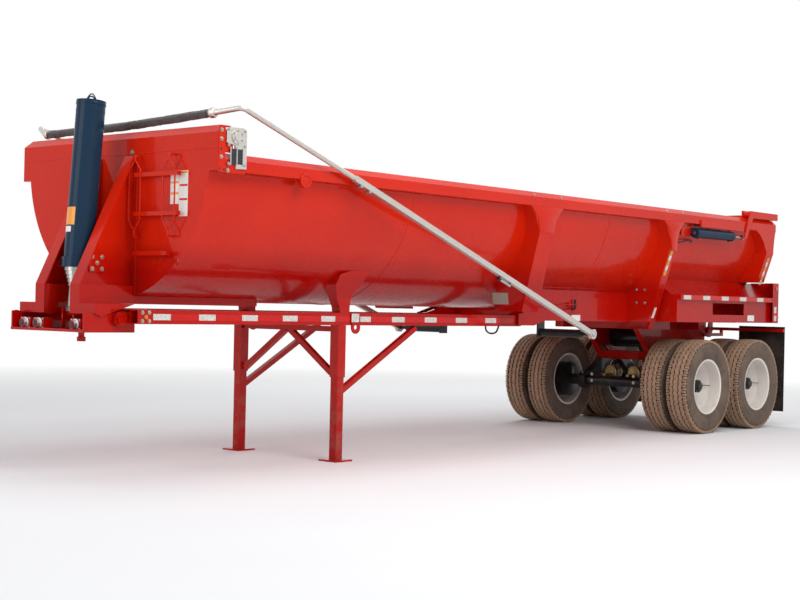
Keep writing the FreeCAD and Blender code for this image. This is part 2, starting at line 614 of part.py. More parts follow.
# Saddles between the shell and the draft arms, where the tub's nose rests.
saddle_foot = "arm_base + arm_height + seat_gap"
saddle_side = side_plate("saddle_side", [
    ("saddle_x - 65", saddle_foot),
    ("saddle_x + 64", saddle_foot),
    ("saddle_x + 69", "arm_base + 162"),
    ("saddle_x + 109", "arm_base + 242"),
    ("saddle_x + 204", "arm_base + 368"),
    ("saddle_x + 204", "arm_base + 462"),
    ("saddle_x + 1", "arm_base + 512"),
    ("saddle_x - 195", "arm_base + 512"),
    ("saddle_x - 195", "arm_base + 495"),
    ("saddle_x - 165", "arm_base + 478"),
    ("saddle_x - 81", "arm_base + 262"),
    ("saddle_x - 65", "arm_base + 162"),
], "frame_y - arm_width / 2", 230)
saddle_cross = cross_plate("saddle_cross", [
    ("frame_y - arm_width / 2", saddle_foot),
    ("frame_y + arm_width / 2", saddle_foot),
    ("frame_y + arm_width / 2", "arm_base + 242"),
    ("frame_y + 180", "arm_base + 462"),
    ("frame_y + 180", "arm_base + 522"),
    ("frame_y - arm_width / 2", "arm_base + 522"),
], "saddle_x - 200", 420)
saddle_whole = doc.addObject("Part::Common", "saddle_whole")
saddle_whole.Base = saddle_side
saddle_whole.Tool = saddle_cross
saddle = minus("saddle", saddle_whole, shell_core("saddle_seat", "seat_gap"))
node("rest_saddles", pair("rest_saddles", saddle))

# Fenders over the wheels: folded sheet from the shell to the rear rails' height.
fender_inner_y = math.sqrt(S.shell_radius ** 2 - (S.rail_top - S.fender_top) ** 2) + S.seat_gap + 1


def folded(points, thickness, start, length):
    """Folded sheet along X whose outer side passes through the given Y and Z points."""
    wire = Part.makePolygon([Vector(start, y, z) for y, z in points])
    face = wire.makeOffset2D(thickness, 2, True, True)
    return face.extrude(Vector(length, 0, 0))


fender_line = [
    (fender_inner_y, S.fender_top),
    (S.fender_skirt_y - 80, S.fender_shelf + 8),
    (S.half_width, S.fender_shelf),
    (S.half_width, S.fender_lip),
    (S.fender_skirt_y, S.fender_lip),
    (S.fender_skirt_y, S.fender_bottom),
]
fender_long = S.fender_front - S.rear_rail_rear
fender = folded(fender_line, S.fender_plate, S.rear_rail_rear, fender_long)
window = Part.makeBox(780, 60, 140, Vector(-4215, S.fender_skirt_y - 30, 1400))
fender = fender.cut(window)
step = Part.makeBox(800, 40, 30, Vector(-4225, S.fender_skirt_y - 42, 1372))
fender = fender.fuse(step)
shell_keep = Part.makeCylinder(S.shell_radius + S.seat_gap, LONG, Vector(-LONG / 2, 0, S.rail_top), Vector(1, 0, 0))
gate_keep = Part.makeCylinder(S.shell_radius + 2 * S.sweep_gap, 500, Vector(S.tub_rear - 500, 0, S.rail_top),
                              Vector(1, 0, 0))
fender = fender.cut(gate_keep)
end_outline = [(S.frame_y + S.rail_width / 2 + S.seat_gap, S.fender_bottom),
               (S.fender_skirt_y, S.fender_bottom), (S.fender_skirt_y, S.fender_lip),
               (S.half_width, S.fender_lip), (S.half_width, S.fender_shelf),
               (S.fender_skirt_y - 80, S.fender_shelf + 8), (fender_inner_y, S.fender_top),
               (S.frame_y + S.rail_width / 2 + S.seat_gap, S.fender_top)]
rear_outline = end_outline[:1] + [(S.half_width, S.fender_bottom), (S.half_width, S.fender_top)] + end_outline[-1:]
for start, length, line in ((S.fender_front - S.fender_plate, S.fender_plate, end_outline),
                            (S.rear_rail_rear, S.fender_plate, rear_outline)):
    panel = Part.Face(Part.makePolygon([Vector(start, y, z) for y, z in line + line[:1]]))
    fender = fender.fuse(panel.extrude(Vector(length, 0, 0)).cut(shell_keep).cut(gate_keep))
post = Part.makeBox(S.post_width, S.fender_plate, S.fender_top - S.fender_bottom,
                    Vector(S.rear_rail_rear, S.half_width - S.fender_plate, S.fender_bottom))
post_cap = Part.makeBox(S.post_width, 120, S.fender_plate,
                        Vector(S.rear_rail_rear, S.half_width - 120, S.fender_top - S.fender_plate))
fender = fender.fuse([post, post_cap])
node("fenders", pair("fenders", shaped("fender", fender)))

# Ladder on the bulkhead: three flat rungs on pairs of stand-offs.
ladder_face = S.tub_front + S.seat_gap
rungs = []
for low_y, high_y, height in ((340, 760, 1790), (340, 872, 2110), (340, 872, 2429)):
    rung = Part.makeBox(34, high_y - low_y, 34, Vector(ladder_face + 34, low_y, height))
    rung = rung.cut(Part.makeBox(28, high_y - low_y, 22, Vector(ladder_face + 34, low_y, height + 6)))
    for y in (low_y + 30, high_y - 44):
        rung = rung.fuse(Part.makeBox(64, 14, 34, Vector(ladder_face, y, height)))
    rungs.append(shaped("rung", rung))
node("bulkhead_ladder", beside("bulkhead_ladder", rungs))

# Tarp gear on the tub's left upper corner: bracket plate against the rail, gear case and its cap.
gear_face = S.half_width + S.seat_gap
gear_plate = Part.makePolygon([Vector(x, gear_face, z) for x, z in (
    (S.tub_front - 290, S.rail_bottom + 25), (S.tub_front - 290, S.rail_top + 190), (S.tub_front - 250, S.rail_top + 206),
    (S.tub_front - 100, S.rail_top + 200), (S.tub_front - 76, S.rail_top + 180), (S.tub_front - 76, S.rail_top + 80),
    (S.tub_front - 168, S.rail_top + 62), (S.tub_front - 176, S.rail_bottom + 20),
    (S.tub_front - 290, S.rail_bottom + 25))])
gear_plate = Part.Face(gear_plate).extrude(Vector(0, 14, 0))
gear_case = Part.makeCylinder(62, 21, Vector(S.tub_front - 190, gear_face, S.rail_top + 130), Vector(0, 1, 0))
gear_cap = Part.makeCylinder(34, 26, Vector(S.tub_front - 190, gear_face, S.rail_top + 130), Vector(0, 1, 0))
node("tarp_gear", shaped("gear", gear_plate.multiFuse([gear_case, gear_cap])))

# Brackets of the gate cylinders and of the tailgate pivots, on the rails.
gate_cheek = Part.makeBox(214, 12, S.rail_bottom - S.gate_base_z + 40,
                          Vector(S.gate_base_x - 34, 1180, S.gate_base_z - 40))
base_pin = Part.makeCylinder(14, 72, Vector(S.gate_base_x, 1190, S.gate_base_z), Vector(0, 1, 0))
pivot_ear = Part.makeBox(110, 11, 90, Vector(S.gate_pivot_x - 55, S.half_width - 93, S.rail_top + S.seat_gap))
pivot_ear = pivot_ear.cut(Part.makeCylinder(28.05, 40, Vector(S.gate_pivot_x, S.half_width - 100, S.gate_pivot_z),
                                            Vector(0, 1, 0)))
gate_guard = Part.makeBox(1040, 18, 84, Vector(S.gate_base_x - 1145, S.half_width + S.seat_gap, S.rail_bottom - 34))
gate_base = beside("gate_bracket", [shaped("gate_cheek", gate_cheek.fuse(base_pin)), shaped("pivot_ear", pivot_ear),
                                    shaped("gate_guard", gate_guard)])
node("gate_brackets", pair("gate_brackets", gate_base))

# Tarp arm brackets: hanger plate, shaft and spring pack below the rear rails.
tarp_plate = Part.makeBox(120, 20, S.rear_rail_bottom - S.tarp_pivot_z + 50 - S.seat_gap,
                          Vector(S.tarp_pivot_x - 60, S.frame_y + S.rail_width / 2 - 20, S.tarp_pivot_z - 50))
tarp_springs = Part.makeCylinder(42, 520, Vector(S.tarp_pivot_x, S.frame_y + S.rail_width / 2, S.tarp_pivot_z),
                                 Vector(0, 1, 0))
tarp_shaft = Part.makeCylinder(20, S.tarp_y + 22 - S.frame_y - S.rail_width / 2,
                               Vector(S.tarp_pivot_x, S.frame_y + S.rail_width / 2, S.tarp_pivot_z),
                               Vector(0, 1, 0))
node("tarp_pivots", pair("tarp_pivots", shaped("tarp_pivot", tarp_plate.multiFuse([tarp_springs, tarp_shaft]))))

# Tailgate: half-round plate with a rim and cross ribs, hung on arms above the rails.
gate_face = "tub_rear - sweep_gap"
gate_disc = rod("gate_disc", (gate_face + " - gate_plate", 0, "rail_top"), "X", "shell_radius", "gate_plate")
gate_lower = block("gate_lower", (gate_face + " - gate_plate - 1", "0 - shell_radius", "rail_top - shell_radius"),
                   ("gate_plate + 2", "2 * shell_radius", "shell_radius"))
gate_round = doc.addObject("Part::Common", "gate_round")
gate_round.Base = gate_disc
gate_round.Tool = gate_lower
gate_header = block("gate_header", (gate_face + " - gate_arm_height / 2", "0 - half_width", "rail_top + sweep_gap"),
                    ("gate_arm_height / 2", "2 * half_width", "gate_arm_height"))
gate_link = block("gate_link", (gate_face + " - gate_plate", "0 - shell_radius", "rail_top - 1"),
                  ("gate_plate", "2 * shell_radius", "sweep_gap + 2"))
gate_ribs = []
for index, share in enumerate((0.883, 0.619, 0.355, 0.091)):  # depth below the rails, in shell radii
    reach = S.shell_radius * math.sqrt(1 - share ** 2) - 20
    gate_ribs.append(block(f"gate_rib_{index}",
                           (gate_face + " - gate_plate - 50", -reach, f"rail_top - {share} * shell_radius"),
                           ("50.5", 2 * reach, "70")))
gate_arms = []
for side, sign in SIDES:
    low = "half_width - gate_arm_width" if sign > 0 else "0 - half_width"
    gate_arms.append(block(f"gate_arm_{side}", ("tub_rear - sweep_gap", low, "rail_top + sweep_gap"),
                           ("gate_pivot_x - tub_rear + sweep_gap", "gate_arm_width", "gate_arm_height")))
    gate_arms.append(rod(f"gate_knuckle_{side}", ("gate_pivot_x", low, "gate_pivot_z"), "Y",
                         "gate_arm_height / 2 - 1", "gate_arm_width"))
    lever_low = "gate_lever_y" if sign > 0 else "0 - gate_lever_y - gate_lever_plate"
    gate_arms.append(plate(f"gate_lever_{side}", "XZ_Plane", [
        ("gate_pivot_x - 45", "gate_pivot_z - 30"),
        ("gate_pivot_x - 35", "gate_pivot_z + 40"),
        ("gate_pivot_x + 30", "gate_pivot_z + 40"),
        ("gate_pivot_x + 45", "gate_pivot_z - 10"),
        ("gate_rod_x + 34", "gate_rod_z - 20"),
        ("gate_rod_x - 34", "gate_rod_z - 20"),
    ], "gate_lever_plate", f"0 - ({lever_low})", backwards=True))
    shaft_low = "half_width - 94" if sign > 0 else "0 - gate_lever_y - 2"
    gate_arms.append(rod(f"gate_shaft_{side}", ("gate_pivot_x", shaft_low, "gate_pivot_z"), "Y", 28,
                         "gate_lever_y - half_width + 96"))
node("tailgate", joined("tailgate", [gate_round, gate_header, gate_link] + gate_ribs + gate_arms))

# Gate cylinders: barrels hung at the front, rods towards the tailgate levers.
gate_lean = math.degrees(math.atan2(S.gate_rod_z - S.gate_base_z, S.gate_base_x - S.gate_rod_x))
lean = Rotation(Vector(0, 1, 0), gate_lean)
back = lean.multVec(Vector(-1, 0, 0))
gate_base = Vector(S.gate_base_x, S.gate_cylinder_y, S.gate_base_z)
gate_rod_end = Vector(S.gate_rod_x, S.gate_cylinder_y, S.gate_rod_z)
eye = Part.makeCylinder(30, 36, gate_base - Vector(0, 18, 0), Vector(0, 1, 0))
gate_tube = Part.makeCylinder(S.gate_cylinder_radius, S.gate_cylinder_length, gate_base + back * 40, back)
neck = Part.makeCylinder(24, 44, gate_base, back)
gate_barrel = gate_tube.multiFuse([eye, neck])
gate_barrel = gate_barrel.cut(Part.makeCylinder(14.05, 80, gate_base - Vector(0, 40, 0), Vector(0, 1, 0)))
rod_room = Part.makeCylinder(S.gate_rod_radius + 0.5, 700, gate_base + back * 330, back)
gate_barrel = gate_barrel.cut(rod_room)
node("gate_cylinder_barrels", pair("gate_cylinder_barrels", shaped("gate_barrel", gate_barrel)))
rod_length = (gate_rod_end - gate_base).Length
gate_rod = Part.makeCylinder(S.gate_rod_radius, rod_length - 340 - 20, gate_base + back * 340, back)
rod_eye = Part.makeCylinder(28, 36, gate_rod_end - Vector(0, 18, 0), Vector(0, 1, 0))
rod_pin = Part.makeCylinder(12, S.gate_lever_y - 0.5 - S.gate_cylinder_y, gate_rod_end, Vector(0, 1, 0))
node("gate_cylinder_rods", pair("gate_cylinder_rods", shaped("gate_rod", gate_rod.multiFuse([rod_eye, rod_pin]))))

# Wheels: twin tyres on two dished rims that meet at the hub's flange.
half_tyre = "tyre_width / 2"
TYRE = [  # across the tyre from its middle, radius
    ("0 - tyre_width * 0.36", "rim_seat"),
    ("0 - tyre_width * 0.43", "rim_seat + 32"),
    ("0 - tyre_width / 2", "rim_seat + 115"),
    ("0 - tyre_width * 0.46", "tyre_radius - 48"),
    ("0 - tyre_width * 0.40", "tyre_radius - 9"),
    ("0 - tyre_width * 0.20", "tyre_radius"),
]


def tyre_corners(middle):
    half = [(f"{middle} + ({a})", r) for a, r in TYRE]
    other = [(f"{middle} - ({a})", r) for a, r in reversed(TYRE)]
    return half + other


outer_middle = "dual_spacing / 2"
inner_middle = "0 - dual_spacing / 2"


def rim_corners(sign):
    """One dished rim: disc at the twin plane, barrel and two flanges."""
    middle = f"{sign} * dual_spacing / 2"
    flange = "rim_width / 2"
    return [
        (f"{sign} * 0.1", "hub_radius - 20"),
        (f"{sign} * 0.1", "rim_seat - rim_plate - 60"),
        (f"{middle} - {sign} * ({flange} - 70)", "rim_seat - rim_plate"),
        (f"{middle} - {sign} * {flange} + {sign} * 0.2", "rim_seat - rim_plate"),
        (f"{middle} - {sign} * {flange}", "rim_radius"),
        (f"{middle} - {sign} * ({flange} - 9)", "rim_radius"),
        (f"{middle} - {sign} * ({flange} - 12)", "rim_seat - 0.3"),
        (f"{middle} + {sign} * ({flange} - 12)", "rim_seat - 0.3"),
        (f"{middle} + {sign} * ({flange} - 9)", "rim_radius"),
        (f"{middle} + {sign} * {flange}", "rim_radius"),
        (f"{middle} + {sign} * ({flange} - 6)", "rim_seat - rim_plate"),
        (f"{middle} - {sign} * ({flange} - 90)", "rim_seat - rim_plate"),
        (f"{sign} * disc_plate", "rim_seat - rim_plate - 62"),
        (f"{sign} * disc_plate", "hub_radius - 20"),
    ]


for axle_name, axle_x in (("front", "axle_x"), ("rear", "axle_x - axle_spacing")):
    for side, sign in SIDES:
        label = f"{axle_name}_{side}"
        centre = (axle_x, f"{sign} * dual_middle", "tyre_radius")
        tyres = [turned(f"tyre_{label}_{n}", tyre_corners(m), centre)
                 for n, m in (("outer", outer_middle), ("inner", inner_middle))]
        rims = [turned(f"rim_{label}_{n}", rim_corners(s), centre) for n, s in (("outer", 1), ("inner", -1))]
        holes = []
        for index in range(5):
            angle = 2 * math.pi * index / 5
            holes.append(rod(f"hole_{label}_{index}",
                             (f"{axle_x} + hand_hole_circle * {math.cos(angle):.6f}",
                              f"{sign} * dual_middle - 60",
                              f"tyre_radius + hand_hole_circle * {math.sin(angle):.6f}"),
                             "Y", "hand_hole_radius", 120))
        rim_pair = minus(f"rims_{label}", joined(f"rim_pair_{label}", rims), joined(f"holes_{label}", holes))
        hub = turned(f"hub_{label}", [
            (f"{-sign} * 330", "spindle_radius + 0.05"),
            (f"{-sign} * 330", "axle_radius + 6"),
            (f"{-sign} * 300", "drum_radius"),
            (f"{-sign} * 120", "drum_radius"),
            (f"{-sign} * 20", "hub_radius + 46"),
            (f"{-sign} * (disc_plate + 0.3)", "hub_radius + 46"),
            (f"{-sign} * (disc_plate + 0.3)", "hub_radius - 21"),
            (f"{sign} * 90", "hub_radius - 21"),
            (f"{sign} * 110", "hub_cap_radius + 6"),
            (f"{sign} * 160", "hub_cap_radius"),
            (f"{sign} * 172", "hub_cap_radius - 14"),
            (f"{sign} * 172", 0),
            (f"{sign} * (spindle_reach + 5)", 0),
            (f"{sign} * (spindle_reach + 5)", "spindle_radius + 0.05"),
        ], centre)
        node(f"tyres_{label}", beside(f"tyres_{label}", tyres))
        node(f"rims_{label}", rim_pair)
        node(f"hub_{label}", hub)

# Suspension subframe: side plates that deepen into the hanger of the walking beams, cross plates, rear lugs.
rocker_x = "(axle_x - axle_spacing / 2)"
sub_top = "rear_rail_bottom - seat_gap"
side_sheet = side_plate("side_sheet", [
    ("hanger_front", sub_top),
    ("beam_rear", sub_top),
    ("beam_rear", "beam_bottom"),
    ("hanger_rear", "beam_bottom"),
    ("hanger_tail", "hanger_bottom"),
    ("hanger_nose", "hanger_bottom"),
], "plate_y", "plate_depth")
rail_pad = block("rail_pad", ("hanger_front - 350", "frame_y - rail_width / 2", sub_top + " - 90"),
                 (460, "rail_width", 90))
rocker_stub = rod("rocker_stub", (rocker_x, "plate_y - 20", "rocker_z"), "Y", "rocker_pin",
                  "rocker_y + rocker_width + 48 - plate_y")
lug = side_plate("hinge_lug", [
    ("beam_rear + 50", "rear_rail_bottom - 20"),
    ("hinge_x + 95", "rear_rail_bottom - 60"),
    ("hinge_x + 22", "hinge_z + 50"),
    ("hinge_x - 22", "hinge_z + 50"),
    ("hinge_x - 50", "hinge_z + 8"),
    ("hinge_x - 42", "hinge_z - 40"),
    ("hinge_x + 20", "hinge_z - 50"),
    ("beam_rear + 50", "rear_rail_bottom - 110"),
], "hinge_y - 35", 70)
hinge_pin = rod("hinge_pin", ("hinge_x", "hinge_y - 68", "hinge_z"), "Y", "hinge_pin", 136)
flap_face = "rear_end + flap_rubber + seat_gap"
flap_arm = side_plate("flap_arm", [
    ("beam_rear + 60", "flap_top - 102"),
    ("beam_rear + 60", "flap_top - 142"),
    (flap_face, "flap_top - 142"),
    (flap_face, "flap_top - 40"),
    (flap_face + " + 40", "flap_top - 40"),
    (flap_face + " + 40", "flap_top - 102"),
], "plate_y + plate_depth - 1", 30)
subframe_side = joined("subframe_side", [side_sheet, rail_pad, rocker_stub, lug, hinge_pin, flap_arm])
front_sheet = side_plate("front_sheet", [
    ("hanger_front", sub_top),
    ("hanger_front - 19", sub_top),
    ("hanger_nose - 19", "hanger_bottom"),
    ("hanger_nose", "hanger_bottom"),
], "0 - plate_y - 1", "2 * plate_y + 2")
front_window = cross_plate("front_window", [
    ("60 - plate_y", "hanger_bottom + 104"),
    ("plate_y - 60", "hanger_bottom + 104"),
    ("plate_y - 60", sub_top + " - 92"),
    ("60 - plate_y", sub_top + " - 92"),
], "hanger_nose - 200", 1000)
bolsters = [block(f"bolster_{index}", (place, "0 - frame_y - rail_width / 2", sub_top + " - 90"),
                  (100, "2 * frame_y + rail_width", 90))
            for index, place in enumerate(("hanger_front - 100", "hanger_rear + 20"))]
span_y = "2 * plate_y + 2"
feet = [block("front_foot", ("hanger_nose - 60", "0 - plate_y - 1", "hanger_bottom"), (60, span_y, 105)),
        block("rear_foot", ("hanger_tail - 20", "0 - plate_y - 1", "hanger_bottom + 15"), (90, span_y, 80)),
        block("rear_box", ("beam_rear", "0 - plate_y - 1", "rear_rail_bottom - 110"), (100, span_y, 90)),
        block("flap_bar", (flap_face, "0 - flap_outer", "flap_top - 67"), (40, "2 * flap_outer", 40))]
node("subframe", joined("subframe", [subframe_side, mirrored("subframe_other", subframe_side),
                                     minus("front_open", front_sheet, front_window)] + bolsters + feet))

# Air tanks between the subframe's side plates.
tanks = []
for index in (0, 1):
    spot = f"tank_x - {index} * (2 * tank_radius + 40)"
    barrel_tank = rod(f"tank_{index}", (spot, "60 - plate_y", "tank_z"), "Y", "tank_radius", "2 * plate_y - 120")
    stub = rod(f"tank_stub_{index}", (spot, "seat_gap - plate_y", "tank_z"), "Y", 30, "2 * plate_y - 2 * seat_gap")
    tanks.append(joined(f"air_tank_{index}", [barrel_tank, stub]))
node("air_tanks", beside("air_tanks", tanks))

# Axles with spindles, walking beams and brake chambers.
for axle_name, axle_x in (("front", "axle_x"), ("rear", "axle_x - axle_spacing")):
    beam_tube = rod(f"axle_tube_{axle_name}", (axle_x, "0 - dual_middle + 331", "tyre_radius"), "Y",
                    "axle_radius", "2 * dual_middle - 662")
    spindles = rod(f"spindles_{axle_name}", (axle_x, "0 - dual_middle - spindle_reach", "tyre_radius"), "Y",
                   "spindle_radius", "2 * dual_middle + 2 * spindle_reach")
    node(f"axle_{axle_name}", joined(f"axle_{axle_name}", [beam_tube, spindles]))
rocker_line = [
    ("axle_x + 100", "tyre_radius - 60"),
    ("axle_x + 100", "tyre_radius + 60"),
    ("axle_x + 40", "tyre_radius + 105"),
    ("axle_x - 90", "tyre_radius + 118"),
    (rocker_x + " + 130", "rocker_z + 62"),
    (rocker_x + " - 130", "rocker_z + 62"),
    ("axle_x - axle_spacing + 90", "tyre_radius + 118"),
    ("axle_x - axle_spacing - 40", "tyre_radius + 105"),
    ("axle_x - axle_spacing - 100", "tyre_radius + 60"),
    ("axle_x - axle_spacing - 100", "tyre_radius - 60"),
    ("axle_x - axle_spacing - 40", "tyre_radius - 100"),
    ("axle_x - axle_spacing + 70", "tyre_radius - 85"),
    (rocker_x + " - 110", "rocker_z - 62"),
    (rocker_x + " + 110", "rocker_z - 62"),
    ("axle_x - 70", "tyre_radius - 85"),
    ("axle_x + 40", "tyre_radius - 100"),
]
rocker_bores = joined("rocker_bores", [
    rod(f"rocker_bore_{index}", (x, "rocker_y - 10", z), "Y", radius, "rocker_width + 20")
    for index, (x, z, radius) in enumerate((("axle_x", "tyre_radius", "axle_radius + seat_gap"),
                                            ("axle_x - axle_spacing", "tyre_radius", "axle_radius + seat_gap"),
                                            (rocker_x, "rocker_z", "rocker_pin + 0.05")))])
rocker = minus("rocker", side_plate("rocker_plate", rocker_line, "rocker_y", "rocker_width"), rocker_bores)
node("walking_beams", pair("walking_beams", rocker))
chambers = []
for axle_name, axle_x in (("front", S.axle_x), ("rear", S.axle_x - S.axle_spacing)):
    centre = Vector(axle_x - 140, 167, S.tyre_radius + 108)
    can = Part.makeCylinder(80, 160, centre, Vector(-1, 0, 0)).fuse(
        Part.makeCylinder(88, 18, centre - Vector(70, 0, 0), Vector(-1, 0, 0)))
    mount = Part.makeBox(160, 40, 60, Vector(axle_x - 160, 147, S.tyre_radius + 30))
    can = can.fuse(mount).cut(Part.makeCylinder(S.axle_radius + S.seat_gap, LONG,
                                                Vector(axle_x, -LONG / 2, S.tyre_radius), Vector(0, 1, 0)))
    chambers.append(pair(f"chamber_pair_{axle_name}", shaped(f"chamber_{axle_name}", can)))
node("brake_chambers", beside("brake_chambers", chambers))
flap = block("flap", ("rear_end", "flap_inner", "flap_bottom"),
             ("flap_rubber", "flap_outer - flap_inner", "flap_top - flap_bottom"))
node("mud_flaps", pair("mud_flaps", flap))

# Draft frame: arms from the rear pivot to the coupler, cross members, and landing legs.
arm_low_y = "frame_y - arm_width / 2"
arm_base = "arm_base"
draft_box = block("draft_box", ("draft_pivot_x", arm_low_y, arm_base),
                  ("arm_front - draft_pivot_x", "arm_width", "arm_height"))
draft_void = block("draft_void", ("draft_pivot_x + 90", arm_low_y + " + arm_wall", arm_base + " + arm_wall"),
                   ("arm_front - draft_pivot_x - 90 + 10", "arm_width - 2 * arm_wall", "arm_height - 2 * arm_wall"))
draft_eye = rod("draft_eye", ("draft_pivot_x", arm_low_y, "draft_pivot_z"), "Y", "arm_height / 2 + 3", "arm_width")
draft_pin = rod("draft_pin", ("draft_pivot_x", "frame_y - rail_width / 2 - 15", "draft_pivot_z"), "Y",
                "draft_pin", "rail_width + 30")
draft_arm = joined("draft_arm", [minus("draft_tube", draft_box, draft_void), draft_eye, draft_pin])
node("draft_arms", pair("draft_arms", draft_arm))
cross_front = block("cross_front", ("coupler_rear - 130", "0 - frame_y + arm_width / 2 + seat_gap", arm_base),
                    (90, "2 * frame_y - arm_width - 2 * seat_gap", "arm_height"))
tongues = []
for side, sign in SIDES:
    low = "coupler_half + 6" if sign > 0 else "0 - coupler_half - 46"
    tongues.append(block(f"tongue_{side}", ("coupler_rear - 45", low, "coupler_pivot_z - 36"),
                         ("coupler_pivot_x - coupler_rear + 45", 40, 90)))
    tongues.append(rod(f"tongue_eye_{side}", ("coupler_pivot_x", low, "coupler_pivot_z"), "Y", 58, 40))
    boss_low = "coupler_half + 6" if sign > 0 else "0 - coupler_half - 68"
    tongues.append(rod(f"tongue_boss_{side}", ("coupler_pivot_x", boss_low, "coupler_pivot_z"), "Y", 45, 62))
tongue_bore = rod("tongue_bore", ("coupler_pivot_x", -600, "coupler_pivot_z"), "Y", "coupler_pin + 0.05", 1200)
cross_nose = minus("cross_nose", joined("cross_nose_parts", [cross_front] + tongues), tongue_bore)
cross_rear = block("cross_rear", ("draft_pivot_x + 500", "0 - frame_y + arm_width / 2 + seat_gap", arm_base),
                   (80, "2 * frame_y - arm_width - 2 * seat_gap", "arm_height - 12"))
cross_leg = block("cross_leg", ("leg_x - 40", "0 - frame_y + arm_width / 2 + seat_gap", arm_base),
                  (80, "2 * frame_y - arm_width - 2 * seat_gap", "arm_height - 12"))
node("draft_crossmembers", beside("draft_crossmembers", [cross_nose, cross_rear, cross_leg]))

leg_top = S.arm_base - S.seat_gap
legs = []
braces = []
for side, sign in SIDES:
    centre = Vector(S.leg_x, sign * S.leg_y, 0)
    half = S.leg_width / 2
    outer = Part.makeBox(S.leg_width, S.leg_width, leg_top - S.leg_outer_bottom,
                         centre + Vector(-half, -half, S.leg_outer_bottom))
    inner = Part.makeBox(S.leg_inner, S.leg_inner, S.leg_outer_bottom - S.foot_plate + 1,
                         centre + Vector(-S.leg_inner / 2, -S.leg_inner / 2, S.foot_plate))
    foot = Part.makeBox(S.foot_width, S.foot_width, S.foot_plate,
                        centre + Vector(-S.foot_width / 2, -S.foot_width / 2, 0))
    legs.append(shaped(f"leg_{side}", outer.multiFuse([inner, foot])))
    long_brace = bar(Vector(S.leg_x - half - S.seat_gap, sign * S.leg_y, 640),
                     Vector(1380, sign * S.leg_y, leg_top - 22), 50, 50)
    long_brace = long_brace.cut(Part.makeBox(400, 400, 400, centre + Vector(-half - S.seat_gap, -200, 480)))
    braces.append(shaped(f"long_brace_{side}", long_brace))
node("landing_legs", beside("landing_legs", legs))
inner_face = S.leg_y - S.leg_width / 2 - S.seat_gap
cross_tube = Part.makeBox(50, 2 * inner_face, 50, Vector(S.leg_x - 25, -inner_face, leg_top - 60))
slants = [bar(Vector(S.leg_x, sign * (inner_face - 18), 800), Vector(S.leg_x, sign * 25, leg_top - 50), 50, 50)
          for _, sign in SIDES]
braces.append(shaped("leg_spreader", cross_tube.multiFuse(slants)))
node("leg_braces", beside("leg_braces", braces))

# Coupler: plate with notched side plates, kingpin, and the ears of the lower hoist pin.
coupler_base = block("coupler_base", ("coupler_rear", "0 - coupler_half", "coupler_bottom"),
                     ("front_end - coupler_rear - 12", "2 * coupler_half", "coupler_plate"))
coupler_sides = [rod("coupler_lip", ("front_end - 12", "0 - coupler_half", "coupler_bottom + 12"), "Y", 12,
                     "2 * coupler_half")]
for side, sign in SIDES:
    low = "coupler_half - 18" if sign > 0 else "0 - coupler_half - 0"
    coupler_sides.append(plate(f"coupler_side_{side}", "XZ_Plane", [
        ("front_end - 6", "coupler_bottom"),
        ("front_end - 6", "wedge_tip_z + 28"),
        ("wedge_tip_x + 110", "wedge_tip_z + 34"),
        ("wedge_tip_x", "wedge_tip_z"),
        ("wedge_tip_x - 210", "wedge_tip_z + 42"),
        ("wedge_tip_x - 250", "wedge_tip_z + 42"),
        ("coupler_rear", "coupler_pivot_z - 8"),
        ("coupler_rear", "coupler_bottom"),
    ], "18", f"0 - ({low})", backwards=True))
    pin_low = "coupler_half - 20" if sign > 0 else "0 - coupler_half - 64"
    coupler_sides.append(rod(f"coupler_boss_{side}", ("coupler_pivot_x", pin_low, "coupler_pivot_z"), "Y",
                             "coupler_pin", 84))
    foot_low = 62 if sign > 0 else -82
    coupler_sides.append(block(f"hoist_ear_{side}", ("hoist_foot_x - 60", foot_low, "coupler_bottom + 1"),
                               (120, 20, "hoist_foot_z - coupler_bottom + 40")))
foot_pin = rod("foot_pin", ("hoist_foot_x", -90, "hoist_foot_z"), "Y", "hoist_foot_pin", 180)
node("coupler_plate", joined("coupler_plate", [coupler_base, foot_pin] + coupler_sides))
kingpin = doc.addObject("PartDesign::Body", "kingpin_body")
pin_sketch = outline(kingpin, "XZ_Plane", [
    (0, 0),
    ("kingpin_head + 14", 0),
    ("kingpin_head + 14", "0 - 6"),
    ("kingpin_neck", "0 - 14"),
    ("kingpin_neck", "kingpin_head_length - kingpin_length + 4"),
    ("kingpin_head", "kingpin_head_length - kingpin_length"),
    ("kingpin_head", "0 - kingpin_length"),
    (0, "0 - kingpin_length"),
])
pin_spin = kingpin.newObject("PartDesign::Revolution", "kingpin_spin")
pin_spin.Profile = pin_sketch
pin_spin.ReferenceAxis = (pin_sketch, ["V_Axis"])
pin_spin.Angle = 360
bind(kingpin, PlacementX="kingpin_x", PlacementZ="coupler_bottom")
node("kingpin", kingpin)
connectors = []
for index, y in enumerate((-330, -150, 330)):
    box_part = Part.makeBox(90, 130, 90, Vector(S.front_end - 130, y - 65, S.coupler_bottom + S.coupler_plate))
    socket = Part.makeCylinder(32, 41, Vector(S.front_end - 41, y, S.coupler_bottom + S.coupler_plate + 46), Vector(1, 0, 0))
    connectors.append(shaped(f"connector_{index}", box_part.fuse(socket)))
node("connectors", beside("connectors", connectors))

# Hoist: barrel on trunnions with six telescoping stages, leaning from the lower pin to the trunnion.
trunnion = Vector(S.trunnion_x, 0, S.trunnion_z)
hoist_foot = Vector(S.hoist_foot_x, 0, S.hoist_foot_z)
down = (hoist_foot - trunnion).normalize()
up = down * -1


def pipe(outer, wall, start, end):
    """Round tube between two distances from the trunnion, measured downwards."""
    length = end - start
    base = trunnion + down * start
    tube = Part.makeCylinder(outer, length, base, down)
    if wall:
        tube = tube.cut(Part.makeCylinder(outer - wall, length, base, down))
    return tube


